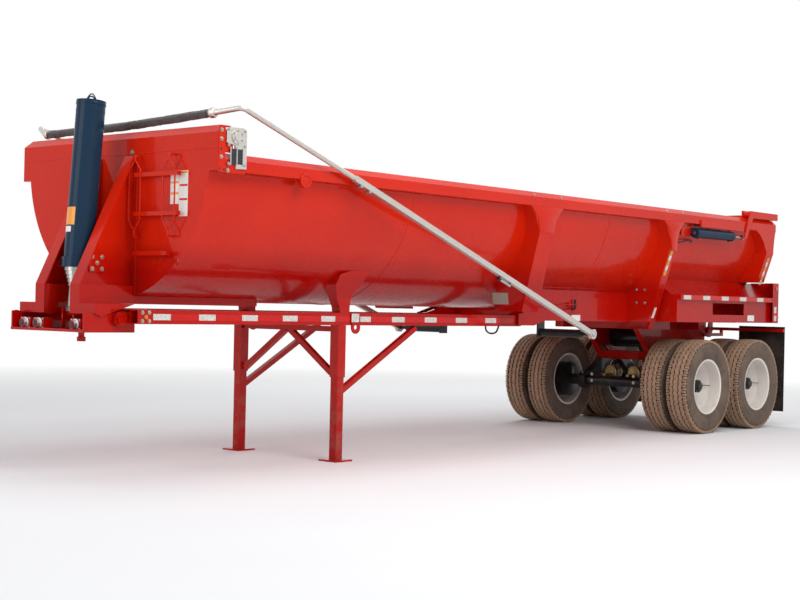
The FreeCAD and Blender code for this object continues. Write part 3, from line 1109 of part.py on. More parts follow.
barrel_top = -S.barrel_rise
barrel_low = S.barrel_drop
barrel = pipe(S.barrel_radius, S.barrel_wall, barrel_top, barrel_low)
lid = pipe(S.barrel_radius + 3, 0, barrel_top - 14, barrel_top)
collar = pipe(S.barrel_radius + 10, S.barrel_wall + 10, -40, barrel_low)
trunnion_pins = [Part.makeCylinder(S.trunnion_radius, S.gusset_web_y - S.barrel_radius - 5,
                                   Vector(S.trunnion_x, sign * (S.barrel_radius + 2), S.trunnion_z),
                                   Vector(0, sign, 0)) for _, sign in SIDES]
bail = Part.makeTorus(34, 6, trunnion + up * (S.barrel_rise + 20), Vector(0, 1, 0))
node("hoist_barrel", shaped("barrel", barrel.multiFuse([lid, collar, bail] + trunnion_pins)))
STAGES = 6
outer = S.barrel_radius - S.barrel_wall - S.stage_gap
end = barrel_low
for index in range(1, STAGES + 1):
    end += S.stage_step
    start = barrel_top + 30 + 12 * index
    if index < STAGES:
        stage = pipe(outer, S.stage_wall, start, end)
    else:
        reach = (hoist_foot - trunnion).Length
        stage = pipe(outer, S.stage_wall, start, reach - S.hoist_foot_pin - 24)
        saddle = Part.makeBox(100, 110, 84, Vector(-50, -55, -12))
        saddle.Placement = Placement(hoist_foot + up * (S.hoist_foot_pin * 0.4 + 12), Rotation(Vector(0, 0, 1), up))
        stage = stage.fuse(saddle).cut(Part.makeCylinder(S.hoist_foot_pin + S.seat_gap, 200,
                                                         hoist_foot - Vector(0, 100, 0), Vector(0, 1, 0)))
    node(f"hoist_stage_{index}", shaped(f"stage_{index}", stage))
    outer -= S.stage_wall + S.stage_gap

# Tarp bow: lower arms, bent upper tube with the crossbar, and the rolled tarp.
pivot = Vector(S.tarp_pivot_x, 0, S.tarp_pivot_z)
joint = Vector(S.tarp_joint_x, 0, S.tarp_joint_z)
elbow = Vector(S.tarp_elbow_x, 0, S.tarp_elbow_z)
lower_arms = []
for side, sign in SIDES:
    across = Vector(0, sign * S.tarp_y, 0)
    lower = bar(pivot + across, joint + across, 44, S.tarp_arm_depth)
    boss = Part.makeCylinder(52, 44, pivot + across - Vector(0, 22, 0), Vector(0, 1, 0))
    bore = Part.makeCylinder(20.05, 44, pivot + across - Vector(0, 22, 0), Vector(0, 1, 0))
    lower_arms.append(shaped(f"lower_arm_{side}", lower.fuse(boss).cut(bore)))
node("tarp_arms", beside("tarp_arms", lower_arms))
along = (elbow - joint).normalize()
bar_left = Vector(S.tarp_bar_x, S.tarp_bar_half + 60, S.tarp_bar_z)
bar_middle = Vector(S.tarp_bar_x, 0, S.tarp_bar_z - S.tarp_bar_sag)
bar_right = Vector(S.tarp_bar_x, -S.tarp_bar_half - 60, S.tarp_bar_z - S.tarp_bar_drop)
arm_ends = [joint - along * 10 + Vector(0, S.tarp_y, 0), elbow + Vector(0, S.tarp_y, 0)]
bow_points = arm_ends + [bar_left, bar_middle, bar_right] + [Vector(p.x, -p.y, p.z) for p in reversed(arm_ends)]
bow = tube_along(bow_points, S.tarp_tube_radius, 60)
for side, sign in SIDES:
    across = Vector(0, sign * S.tarp_y, 0)
    bow = bow.cut(bar(pivot + across, joint + (joint - pivot).normalize() * S.seat_gap + across, 60,
                      S.tarp_arm_depth + 20))
node("tarp_bow", shaped("bow", bow))
share = S.tarp_bar_half / (S.tarp_bar_half + 60)
roll_line = [bar_middle + (bar_left - bar_middle) * share, bar_middle, bar_middle + (bar_right - bar_middle) * share]
roll = tube_along(roll_line, S.tarp_roll_radius, 60).cut(tube_along(bow_points, S.tarp_tube_radius + S.seat_gap, 60))
node("tarp_roll", shaped("roll", roll))

doc.recompute()
for thing in doc.Objects:
    if "Invalid" in thing.State or "Error" in thing.State:
        raise RuntimeError(f"{thing.Label} failed: {thing.State}")
os.makedirs("parts", exist_ok=True)
for name, thing in nodes.items():
    if thing.Shape.isNull() or not thing.Shape.isValid():
        raise RuntimeError(f"{name} has no valid shape")
    thing.Shape.exportStep(f"parts/{name}.step")
    print(f"{name}: {len(thing.Shape.Solids)} solids, {thing.Shape.Volume / 1e9:.4f} cubic metres")
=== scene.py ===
"""Looks of the frameless end dump trailer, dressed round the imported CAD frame. Metres, the frame's own axes.

Films, plates and bolt heads stand 0.2 to 1.2 mm off their seats, so that no two faces share a plane.
"""
import bmesh
import bpy
import json
import math
from mathutils import Matrix, Vector, noise

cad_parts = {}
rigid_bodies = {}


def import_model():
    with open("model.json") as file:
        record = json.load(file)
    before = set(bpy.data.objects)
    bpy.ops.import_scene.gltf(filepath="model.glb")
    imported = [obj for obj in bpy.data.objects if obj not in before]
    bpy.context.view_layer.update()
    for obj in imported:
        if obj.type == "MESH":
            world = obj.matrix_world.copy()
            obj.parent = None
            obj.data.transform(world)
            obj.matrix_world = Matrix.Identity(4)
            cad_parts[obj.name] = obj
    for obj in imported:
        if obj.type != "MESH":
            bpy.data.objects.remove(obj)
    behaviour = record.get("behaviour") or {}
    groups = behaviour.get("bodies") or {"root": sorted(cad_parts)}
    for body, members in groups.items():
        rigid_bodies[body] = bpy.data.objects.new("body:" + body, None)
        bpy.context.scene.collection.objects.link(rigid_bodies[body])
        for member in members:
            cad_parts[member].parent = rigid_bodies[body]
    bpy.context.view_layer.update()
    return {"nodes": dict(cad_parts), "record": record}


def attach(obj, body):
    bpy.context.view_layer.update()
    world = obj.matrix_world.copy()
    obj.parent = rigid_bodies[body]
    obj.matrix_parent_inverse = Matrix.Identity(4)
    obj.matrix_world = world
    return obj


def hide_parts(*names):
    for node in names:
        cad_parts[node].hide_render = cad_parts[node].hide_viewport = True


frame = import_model()
scene = bpy.context.scene
scene.view_settings.view_transform = "Standard"
SIDES = (1, -1)
WORD = {1: "left", -1: "right"}

# Sizes and places that the dressing shares with the frame.
AXLES = {"front": -3.260, "rear": -4.505}
AXLE_Z = 0.552
DUAL_Y, DUAL_HALF = 0.983, 0.1715  # middle of a twin pair, and from there to the middle of each tyre
TUB_FRONT = 4.550  # front face of the bulkhead
RAIL_TOP, SHELL_R = 2.597, 1.175  # the shell's arc is struck from the height of the rails' top
RAIL_FOOT = 2.452  # lower edge of the rails, on the shell
SIDE_Y = 1.270  # outer face of rails, ribs, fender lips and posts
SKIRT_Y = 1.220  # outer face of a fender's skirt
BOLSTER_X = -5.040  # rear face of the bolster
REAR_RAIL_Y = 0.680  # outer face of a rear rail
NECK_Z, FOOT_Z, FOOT_Y = 2.180, 1.300, 0.960  # a rib's outer face leans in from its neck to its foot
GUSSET_Y = 0.250  # outer face of a hoist gusset
ARM_FACE, ARM_MIDDLE = 0.670, 1.295  # outer face of a draft arm, and its middle height
COUPLER_X, SOCKET_X, SOCKET_Z = 5.160, 5.200, 1.225  # coupler's front face, and the sockets' fronts
HOIST_FOOT = Vector((4.930, 0, 1.310))
TRUNNION = Vector((4.900, 0, 1.720))
BARREL_R, LID = 0.118, 1.320  # hoist's barrel, and the top of its lid above the trunnion
TARP_PIVOT = Vector((-0.687, 0, 1.176))
TARP_JOINT = Vector((3.037, 0, 2.505))
TARP_ARM_Y, TARP_PIN_Y = 1.327, 1.349  # middle of a tarp arm, and its pin's outer end
FLAP_X = -5.200  # rear face of the mud flaps


def show(name, data):
    """An object in the scene for its data."""
    thing = bpy.data.objects.new(name, data)
    scene.collection.objects.link(thing)
    return thing


# Camera where the photograph was taken from.
def place_camera():
    position = Vector((12.336, 9.840, 1.440))
    yaw, pitch, roll = (math.radians(angle) for angle in (40.606, -0.172, 1.290))
    focal_pixels, picture_pixels, sensor = 1478.5, 800, 36
    look = Vector((-math.cos(yaw) * math.cos(pitch), -math.sin(yaw) * math.cos(pitch), -math.sin(pitch)))
    level = look.cross(Vector((0, 0, 1))).normalized()
    upright = level.cross(look)
    right = math.cos(roll) * level + math.sin(roll) * upright
    up = math.cos(roll) * upright - math.sin(roll) * level
    camera = show("camera", bpy.data.cameras.new("camera"))
    camera.matrix_world = Matrix.Translation(position) @ Matrix((right, up, -look)).transposed().to_4x4()
    camera.data.sensor_width = sensor
    camera.data.lens = sensor * focal_pixels / picture_pixels
    camera.data.clip_end = 200
    scene.camera = camera


# Materials.
def linear(code):
    """A colour written as sRGB hex, as the shader wants it."""
    parts = [int(code[i:i + 2], 16) / 255 for i in (1, 3, 5)]
    return [p / 12.92 if p <= 0.04045 else ((p + 0.055) / 1.055) ** 2.4 for p in parts] + [1]


def add(tree, kind, settings=None, **inputs):
    """A node with its settings; inputs are values or other nodes' outputs, i0 and i1 name sockets by place."""
    node = tree.nodes.new("ShaderNode" + kind)
    for key, value in (settings or {}).items():
        setattr(node, key, value)
    for key, value in inputs.items():
        by_place = key[0] == "i" and key[1:].isdigit()
        spot = node.inputs[int(key[1:])] if by_place else node.inputs[key.replace("_", " ")]
        if isinstance(value, bpy.types.NodeSocket):
            tree.links.new(value, spot)
        else:
            spot.default_value = value
    return node


def material(name, **shader):
    """A new material with its shader's plain values set; gives the material, its tree and its shader."""
    made = bpy.data.materials.new(name)
    made.use_nodes = True
    tree = made.node_tree
    tree.nodes.clear()
    principled = add(tree, "BsdfPrincipled", **shader)
    add(tree, "OutputMaterial", Surface=principled.outputs[0])
    return made, tree, principled


def on_object(tree):
    return add(tree, "TexCoord").outputs["Object"]


def reckon(tree, operation, first, second):
    return add(tree, "Math", {"operation": operation}, i0=first, i1=second).outputs[0]


def spots(tree, scale, detail=4.0, roughness=0.55, stretch=(1, 1, 1)):
    """Noise on object coordinates; scale is in ripples a metre."""
    where = add(tree, "Mapping", Vector=on_object(tree), Scale=stretch).outputs[0]
    return add(tree, "TexNoise", Vector=where, Scale=scale, Detail=detail,
               Roughness=roughness).outputs[0]


def ramp(tree, factor, low, high, low_value, high_value):
    """Maps part of a 0 to 1 pattern to a range of values."""
    return add(tree, "MapRange", {"clamp": True}, Value=factor, From_Min=low, From_Max=high,
               To_Min=low_value, To_Max=high_value).outputs[0]


def mixed(tree, factor, first, second):
    """Colour between two, either hex codes or outputs."""
    first = linear(first) if isinstance(first, str) else first
    second = linear(second) if isinstance(second, str) else second
    return add(tree, "Mix", {"data_type": "RGBA"}, i0=factor, i6=first, i7=second).outputs[2]


def wire(tree, shader, colour, height, depth, rough=None):
    """Gives the shader a colour, a relief of some depth in metres and, unless it is even, a roughness."""
    relief = add(tree, "Bump", Height=height, Distance=depth, Strength=1.0)
    tree.links.new(colour, shader.inputs["Base Color"])
    tree.links.new(relief.outputs[0], shader.inputs["Normal"])
    if rough is not None:
        tree.links.new(rough, shader.inputs["Roughness"])


def enamel(name, colour, shade, gloss, coat=0.30, dust="#8A7262", dust_amount=0.10, painted_shade_heights=None):
    """Two-pack enamel sprayed on steel: a clear wet gloss with a little orange peel, and road dust low down.

    It wanders at random to a darker tone, and below two given heights it is painted most of the way to that tone:
    painted shade where a belly turns under, away from the light.
    """
    made, tree, shader = material(name, Coat_Weight=coat, Coat_Roughness=0.04, Specular_IOR_Level=coat * 0.3)
    height = add(tree, "SeparateXYZ", Vector=on_object(tree)).outputs[2]
    tone_and_painted_shade = ramp(tree, spots(tree, 0.9, 2), 0.35, 0.65, 0.25, 0)
    # Painted shade: below the given heights the paint goes most of the way to its darker tone, as where a belly
    # turns away from the light.
    if painted_shade_heights:
        tone_and_painted_shade = reckon(tree, "ADD", tone_and_painted_shade, ramp(tree, height, *painted_shade_heights, 0.75, 0))
    near_ground = ramp(tree, height, 0.2, 1.3, 1, 0)
    grit = ramp(tree, spots(tree, 11, 6), 0.45, 0.75, 0, dust_amount * 4)
    dirt = reckon(tree, "MULTIPLY", near_ground, grit)
    wire(tree, shader, mixed(tree, dirt, mixed(tree, tone_and_painted_shade, colour, shade), dust), spots(tree, 330, 2), 0.00012,
         ramp(tree, spots(tree, 3.1, 5), 0.3, 0.7, gloss, gloss + 0.10))
    return made


def metal(name, colour, shade, rough, grain=(1, 1, 1), scale=40.0, depth=0.00008):
    """Bare metal: its tint wanders a little and its grain runs the way it was rolled, drawn or turned."""
    made, tree, shader = material(name, Metallic=1.0)
    pattern = spots(tree, scale, 6, stretch=grain)
    wire(tree, shader, mixed(tree, ramp(tree, pattern, 0.3, 0.7, 0, 1), colour, shade), pattern, depth,
         ramp(tree, pattern, 0.3, 0.7, rough, rough + 0.14))
    return made


def rubber(name, colour, dust, share, rough=0.78, scale=18.0):
    """Moulded rubber with dry dust rubbed into a share of it."""
    made, tree, shader = material(name, Specular_IOR_Level=0.28)
    patches = ramp(tree, spots(tree, scale, 8, 0.65), 0.5 - share * 0.3, 0.78 - share * 0.3, 0, 1)
    wire(tree, shader, mixed(tree, patches, colour, dust), spots(tree, 160, 5, 0.7), 0.0006,
         ramp(tree, patches, 0, 1, rough - 0.12, rough + 0.1))
    return made


def tape(name, colour, shade):
    """Retroreflective sheeting: cube corners in sealed cells about 4 mm across under a clear film."""
    made, tree, shader = material(name, Roughness=0.3, Coat_Weight=0.25, Coat_Roughness=0.08,
                                  Specular_IOR_Level=0.2)
    cells = add(tree, "TexVoronoi", {"feature": "DISTANCE_TO_EDGE"}, Vector=on_object(tree),
                Scale=150, Randomness=0.15).outputs[0]
    wire(tree, shader, mixed(tree, ramp(tree, cells, 0.02, 0.09, 1, 0), colour, shade), cells, 0.0002)
    return made


def plain(name, colour, rough, coat=0.0, fleck="#000000", amount=0.0, **more):
    """Moulded plastic, printed vinyl or cast parts: one colour with a fine fleck and a light grain."""
    made, tree, shader = material(name, Coat_Weight=coat, Coat_Roughness=0.1, **more)
    pattern = spots(tree, 60.0, 5)
    wire(tree, shader, mixed(tree, ramp(tree, pattern, 0.4, 0.8, 0, amount), colour, fleck), pattern, 0.00015,
         ramp(tree, pattern, 0.3, 0.7, rough, rough + 0.08))
    return made


def woven_tarp():
    """Coated mesh tarpaulin: its weave drawn coarse so that it shows, dull and dusty brown-grey."""
    made, tree, shader = material("coated_mesh_tarpaulin", Sheen_Weight=0.25, Sheen_Roughness=0.6,
                                  Specular_IOR_Level=0.25)
    threads = []
    for stretch in ((0, 1, 0), (1, 0, 1)):
        where = add(tree, "Mapping", Vector=on_object(tree), Scale=stretch).outputs[0]
        threads.append(add(tree, "TexWave", {"bands_direction": "DIAGONAL"}, Vector=where, Scale=38,
                           Distortion=1.2, Detail=1).outputs[1])
    weave = reckon(tree, "MAXIMUM", *threads)
    dust = ramp(tree, spots(tree, 9, 7, 0.6), 0.42, 0.7, 0, 1)
    cloth = mixed(tree, ramp(tree, weave, 0.2, 0.9, 0, 1), "#231D1E", "#4A3F3F")
    wire(tree, shader, mixed(tree, ramp(tree, dust, 0, 1, 0, 0.45), cloth, "#6F6060"), weave, 0.0010,
         ramp(tree, dust, 0, 1, 0.6, 0.85))
    return made


# Painted shade: the red belly below 1.66 to 1.90 m goes most of the way to its darker tone.
RED = enamel("gloss_red_enamel", "#D62408", "#AC0502", 0.22, coat=0.28, painted_shade_heights=(1.66, 1.90))
NAVY = enamel("gloss_steel_blue_enamel", "#1D354B", "#15283A", 0.20, coat=0.14, dust_amount=0.0)
BLACK = enamel("semi_gloss_chassis_black", "#17181B", "#101114", 0.38, coat=0.4, dust="#5A4B3E", dust_amount=0.14)
WHEEL_WHITE = enamel("white_wheel_enamel", "#EAE3DC", "#E0D8D0", 0.28, dust="#A68E78", dust_amount=0.05)
CHROME = metal("ground_chromed_rod", "#A9A7A3", "#8E8B86", 0.14, grain=(1, 1, 0.02), scale=90, depth=0.00002)
ZINC = metal("zinc_plated_fasteners", "#C9C2AE", "#A39C8C", 0.30, scale=120)
STEEL = metal("machined_steel", "#8F8F8E", "#6E6D6B", 0.32, grain=(1, 1, 12), scale=30)
ALUMINIUM = metal("mill_finish_aluminium_tube", "#D6D1CB", "#C0BAB2", 0.36, grain=(0.6, 14, 14), scale=22,
                  depth=0.00001)
CAST_ALUMINIUM = plain("cast_aluminium_housing", "#B9BCBE", 0.42, fleck="#8E9194", amount=0.5, Metallic=0.85)
BRASS = metal("brass_fitting", "#B8924A", "#94713A", 0.30)
YELLOW_ZINC = metal("yellow_zinc_plated_steel", "#A58B62", "#6A5639", 0.38, scale=14)
TYRE_SIDE = rubber("tyre_sidewall_rubber", "#584A42", "#766557", 0.55, scale=5)
TYRE_TREAD = rubber("dusty_tread_rubber", "#7C6452", "#AC8D75", 0.85, rough=0.85, scale=22)
# Groove floors are near-black: dark rubber, darkened further as painted shade in the grooves.
TYRE_GROOVE_PAINTED_SHADE = rubber("tread_groove_rubber_painted_shade", "#14110F", "#2C241F", 0.30)
FLAP = rubber("mud_flap_rubber", "#1A1918", "#463A31", 0.30, scale=4)
TARP = woven_tarp()
TAPES = {"red": tape("red_reflective_sheeting", "#E00A08", "#B00806"),
         "white": tape("white_reflective_sheeting", "#EDEAE4", "#B9B5AE"),
         "yellow": tape("yellow_reflective_sheeting", "#E6B021", "#A87D10")}
DECAL_WHITE = plain("white_vinyl_plate", "#EDEBE6", 0.35, coat=0.3)
DECAL_ORANGE = plain("orange_vinyl_plate", "#F09A12", 0.35, coat=0.3)
DECAL_GREY = plain("grey_anodised_plate", "#A79C8E", 0.45, fleck="#8B8072", amount=0.6)
LENS_AMBER = plain("amber_polycarbonate_lens", "#D96A08", 0.12, coat=1.0)
LENS_RED = plain("red_polycarbonate_lens", "#9E0C0A", 0.12, coat=1.0)
BLACK_PLASTIC = plain("black_moulded_plastic", "#17181A", 0.4, fleck="#3A3A3C", amount=0.5)

FINISH = {"red_paint": RED, "hoist_paint": NAVY, "black_iron": BLACK, "white_rim": WHEEL_WHITE,
          "tyre": TYRE_SIDE, "flap_rubber": FLAP, "aluminium": ALUMINIUM, "bare_steel": STEEL,
          "chrome_rod": CHROME, "tarp_mesh": TARP}
SLOT_OF = {part["node"]: part["material_slot"] for part in frame["record"]["subparts"]}
OWN_FINISH = {"brake_chambers": YELLOW_ZINC, "kingpin": RED}
for name, thing in frame["nodes"].items():
    thing.data.materials.clear()
    thing.data.materials.append(OWN_FINISH.get(name, FINISH[SLOT_OF[name]]))


# Workshop: small parts are made at the origin as bmeshes, then set in place in one piece.
def facing(point, along, turn=0.0):
    """Puts a part's own Z along a direction, at a point."""
    aimed = Vector(along).to_track_quat("Z", "Y").to_matrix().to_4x4()
    return Matrix.Translation(Vector(point)) @ aimed @ Matrix.Rotation(turn, 4, "Z")


def polar(radius, angle, height=0.0):
    return Vector((radius * math.cos(angle), radius * math.sin(angle), height))


def as_mesh(name, bm):
    mesh = bpy.data.meshes.new(name)
    bm.to_mesh(mesh)
    bm.free()
    return mesh


def put(bm, part, matrix=Matrix()):
    """Adds a part to a bmesh, in its place."""
    bmesh.ops.transform(part, matrix=matrix, verts=part.verts)
    if matrix.determinant() < 0:
        bmesh.ops.reverse_faces(part, faces=part.faces)
    carrier = as_mesh("carrier", part)
    bm.from_mesh(carrier)
    bpy.data.meshes.remove(carrier)


def parts(*placed):
    """One bmesh from several parts and their places."""
    bm = bmesh.new()
    for part, matrix in placed:
        put(bm, part, matrix)
    return bm


def ease(bm, edges, offset, segments):
    """Rounds or chamfers edges."""
    bmesh.ops.bevel(bm, geom=edges, offset=offset, segments=segments, affect="EDGES", profile=0.5, material=-1)


def brick(low, high, edge, segments=2):
    """Straight-sided part with rounded edges."""
    bm = bmesh.new()
    bmesh.ops.create_cube(bm, size=1)
    low, high = Vector(low), Vector(high)
    bmesh.ops.scale(bm, vec=high - low, verts=bm.verts)
    bmesh.ops.translate(bm, vec=(low + high) / 2, verts=bm.verts)
    ease(bm, bm.edges[:], edge, segments)
    return bm


def turned(outline, steps):
    """Lathe work about Z: the outline is radius and height, one after the other."""
    bm = bmesh.new()
    points = [bm.verts.new((radius, 0, height)) for radius, height in outline]
    edges = [bm.edges.new(ends) for ends in zip(points, points[1:])]
    bmesh.ops.spin(bm, geom=points + edges, cent=(0, 0, 0), axis=(0, 0, 1), dvec=(0, 0, 0),
                   angle=2 * math.pi, steps=steps, use_merge=True)
    bmesh.ops.remove_doubles(bm, verts=bm.verts[:], dist=1e-6)
    bmesh.ops.recalc_face_normals(bm, faces=bm.faces[:])
    return bm


def band(inner, outer, width, steps, foot=0.0, chamfer=0.002):
    """Open hoop about Z, with its outer edges chamfered."""
    return turned([(inner, foot), (outer, foot + chamfer), (outer, foot + width - chamfer),
                   (inner, foot + width)], steps)


def stud(radius, height, nose, shoulder, steps):
    """Round pin on Z, drawn in from its shoulder to the nose."""
    return turned([(0, height), (nose, height - 0.001), (radius, shoulder), (radius, 0), (0, 0)], steps)


def sheet_of(corners, thickness, edge):
    """Flat plate in X and Y of its own, from its corners, with its thickness along Z."""
    bm = bmesh.new()
    face = bm.faces.new([bm.verts.new((x, y, 0)) for x, y in corners])
    bmesh.ops.recalc_face_normals(bm, faces=[face])
    raised = bmesh.ops.extrude_face_region(bm, geom=[face])
    bmesh.ops.translate(bm, vec=(0, 0, thickness),
                        verts=[v for v in raised["geom"] if isinstance(v, bmesh.types.BMVert)])
    bmesh.ops.recalc_face_normals(bm, faces=bm.faces[:])
    ease(bm, bm.edges[:], edge, 2)
    return bm


def plate(centre, normal, width, height, thickness):
    """Thin plate on a face: width runs level and height runs up the face."""
    normal = Vector(normal).normalized()
    level = Vector((0, 0, 1)).cross(normal).normalized()
    place = Matrix((level, normal.cross(level), normal)).transposed().to_4x4()
    bm = brick((-width / 2, -height / 2, 0), (width / 2, height / 2, thickness), thickness * 0.4, 1)
    bmesh.ops.transform(bm, matrix=Matrix.Translation(Vector(centre)) @ place, verts=bm.verts)
    return bm


def bolt(size):
    """Hexagon head on its washer; size is across the flats."""
    bm = bmesh.new()
    corner = size / 1.732
    bmesh.ops.create_cone(bm, cap_ends=True, segments=6, radius1=corner, radius2=corner, depth=size * 0.65)
    bmesh.ops.translate(bm, vec=(0, 0, size * 0.42), verts=bm.verts)
    ease(bm, [e for e in bm.edges if all(v.co.z > size * 0.6 for v in e.verts)], size * 0.08, 1)
    put(bm, turned([(0, 0), (size * 0.95, 0), (size * 0.95, size * 0.12), (0, size * 0.12)], 16))
    return bm


def bolts(places, along, size):
    """Bolts at several places, all facing one way, each turned a little further."""
    return parts(*((bolt(size), facing(place, along, 0.3 * i)) for i, place in enumerate(places)))


def bent_rod(points, radius, corner=0.03, closed=False):
    """Round bar through its corner points, each rounded off in five steps."""
    curve = bpy.data.curves.new("rod", "CURVE")
    curve.dimensions = "3D"
    curve.bevel_depth = radius
    curve.bevel_resolution = 2
    curve.use_fill_caps = not closed
    points = [Vector(p) for p in points]
    count = len(points)
    line = []
    for i, point in enumerate(points):
        before, after = points[i - 1], points[(i + 1) % count]
        if not closed and i in (0, count - 1):
            line.append(point)
            continue
        trim = min(corner, (before - point).length * 0.45, (after - point).length * 0.45)
        first = point + (before - point).normalized() * trim
        last = point + (after - point).normalized() * trim
        for step in range(6):
            t = step / 5
            line.append(first * (1 - t) ** 2 + point * 2 * t * (1 - t) + last * t ** 2)
    spline = curve.splines.new("POLY")
    spline.points.add(len(line) - 1)
    for spot, at in zip(spline.points, line):
        spot.co = (*at, 1)
    spline.use_cyclic_u = closed
    holder = bpy.data.objects.new("rod", curve)
    mesh = bpy.data.meshes.new_from_object(holder)
    bm = bmesh.new()
    bm.from_mesh(mesh)
    for data, group in ((holder, bpy.data.objects), (mesh, bpy.data.meshes), (curve, bpy.data.curves)):
        group.remove(data)
    return bm


def weld(first, last, radius):
    """Straight bead between two points."""
    return bent_rod([first, last], radius)


def loop(centre, axis, major, minor):
    """Closed ring of round bar."""
    bm = bent_rod([polar(major, 2 * math.pi * i / 32) for i in range(32)], minor, 0.001, closed=True)
    bmesh.ops.transform(bm, matrix=facing(centre, axis), verts=bm.verts)
    return bm


def lens(radius, height):
    outline = [(0, 1), (0.72, 0.92), (0.94, 0.6), (1, 0), (0, 0)]
    return turned([(radius * r, height * z) for r, z in outline], 32)


def piece(name, bm, finish, body, replaces=(), angle=35):
    """Finished piece: named, shaded, finished, and riding on its body."""
    mesh = as_mesh(name, bm)
    mesh.polygons.foreach_set("use_smooth", [True] * len(mesh.polygons))
    mesh.set_sharp_from_angle(angle=math.radians(angle))
    mesh.materials.append(finish)
    thing = show(name, mesh)
    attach(thing, body)
    if replaces:
        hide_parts(*replaces)
    return thing


# Tyres: a carcass with a moulded sidewall, zigzag tread ribs and open shoulder blocks.
TYRE_R = 0.552
GROOVE_R = 0.511  # faces beyond it are the floor of the grooves
PITCHES = 52  # tread pitches round the tyre
ZIGZAG = 0.0075
# Radius and place across, from the bead to the crown.
CARCASS = [(0.311, -0.098), (0.318, -0.112), (0.335, -0.119), (0.352, -0.1245), (0.356, -0.1225), (0.372, -0.129),
           (0.400, -0.136), (0.430, -0.139), (0.436, -0.1375), (0.462, -0.137), (0.468, -0.1385), (0.492, -0.134),
           (0.512, -0.128), (0.527, -0.119), (0.535, -0.104), (0.5375, -0.060), (0.538, 0.0)]


def tread_block(bm, low, high, start, end, foot, shift=0.0):
    """One block of tread from one angle to the next, crowned, chamfered and sheared sideways by shift."""
    for vert in bmesh.ops.create_cube(bm, size=2)["verts"]:
        upper = vert.co.z > 0
        angle = start + (end - start) * (vert.co.x + 1) / 2
        side = low + 0.002 * upper if vert.co.y < 0 else high - 0.002 * upper
        crown = 0.006 * (abs(side) / 0.13) ** 2
        radius = (TYRE_R - crown) if upper else foot
        vert.co = polar(radius, angle, side + shift * vert.co.x)


def tyre():
    """Tyre about Z; its slots are the sidewall, the tread and the grooves."""
    bm = bmesh.new()
    outline = CARCASS + [(r, -y) for r, y in reversed(CARCASS[:-1])]
    put(bm, turned(outline + outline[:1], 72))
    # Faces beyond GROOVE_R, the groove floors, take the near-black groove finish: painted shade in the grooves.
    for face in bm.faces:
        if all(math.hypot(v.co.x, v.co.y) > GROOVE_R for v in face.verts):
            face.material_index = 2
    pitch = 2 * math.pi / PITCHES
    tread = bmesh.new()
    for low, high in ((-0.0775, -0.0385), (-0.0255, 0.0255), (0.0385, 0.0775)):
        for half, shift in ((0, ZIGZAG), (1, -ZIGZAG)):
            tread_block(tread, low, high, half * pitch / 2, (half + 1) * pitch / 2, 0.532, shift)
    for low, high in ((-0.127, -0.0905), (0.0905, 0.127)):
        tread_block(tread, low, high, pitch * 0.04, pitch * 0.40, 0.508)
        tread_block(tread, low * 0.975, high * 0.975, pitch * 0.54, pitch * 0.90, 0.512)
    bmesh.ops.recalc_face_normals(tread, faces=tread.faces[:])
    bmesh.ops.spin(tread, geom=tread.verts[:] + tread.edges[:] + tread.faces[:], cent=(0, 0, 0), axis=(0, 0, 1),
                   dvec=(0, 0, 0), angle=pitch * (PITCHES - 1), steps=PITCHES - 1, use_duplicate=True)
    for face in tread.faces:
        face.material_index = 1
    put(bm, tread)
    return bm


def nut_ring(count, radius, size, height):
    """Ring of nuts about Z, each on a stud that stands proud of it."""
    bm = bmesh.new()
    for i in range(count):
        spot = Matrix.Translation(polar(radius, 2 * math.pi * i / count, height))
        outline = [(0, 1.1), (0.30, 1.1), (0.34, 0.98), (0.34, 0)]
        put(bm, bolt(size), spot)
        put(bm, turned([(size * r, size * z) for r, z in outline], 10), spot)
    return bm


def build_wheels():
    valve_r, plug_at = 0.262, Matrix.Translation((0.045, 0.088, 0))
    mould = tyre()
    for axle, x in AXLES.items():
        for side in SIDES:
            label = f"{axle}_{WORD[side]}"
            body = f"wheel_{label}"
            outward = facing((x, side * DUAL_Y, AXLE_Z), (0, side, 0))
            twin = bmesh.new()
            for offset, turn in ((DUAL_HALF, 0.0), (-DUAL_HALF, 0.31)):
                place = outward @ Matrix.Translation((0, 0, offset)) @ Matrix.Rotation(turn, 4, "Z")
                put(twin, mould.copy(), place)
            made = piece(f"tyre_pair_{label}", twin, TYRE_SIDE, body, [f"tyres_{label}"], 30)
            made.data.materials.append(TYRE_TREAD)
            made.data.materials.append(TYRE_GROOVE_PAINTED_SHADE)
            nuts = nut_ring(10, 0.1425, 0.030, 0.012)
            piece(f"wheel_nuts_{label}", parts((nuts, outward)), ZINC, body, angle=25)
            cap = turned([(0, 0.205), (0.030, 0.204), (0.044, 0.198), (0.050, 0.186), (0.052, 0.172),
                          (0.074, 0.170), (0.076, 0.160), (0.060, 0.158)], 40)
            put(cap, nut_ring(6, 0.063, 0.010, 0.170))
            piece(f"hub_oil_cap_{label}", parts((cap, outward)), BLACK_PLASTIC, body, angle=25)
            plug = stud(0.016, 0.052, 0.012, 0.046, 20)
            piece(f"hub_seal_plug_{label}", parts((plug, outward @ plug_at)), LENS_RED, body)
            valve = bent_rod([(valve_r, 0, 0.055), (valve_r + 0.006, 0, 0.10), (valve_r, 0, 0.150)], 0.0045)
            put(valve, turned([(0, 0.028), (0.006, 0.027), (0.006, 0), (0, 0)], 12),
                Matrix.Translation((valve_r, 0, 0.148)))
            piece(f"valve_stem_{label}", parts((valve, outward)), BRASS, body, angle=25)
    mould.free()


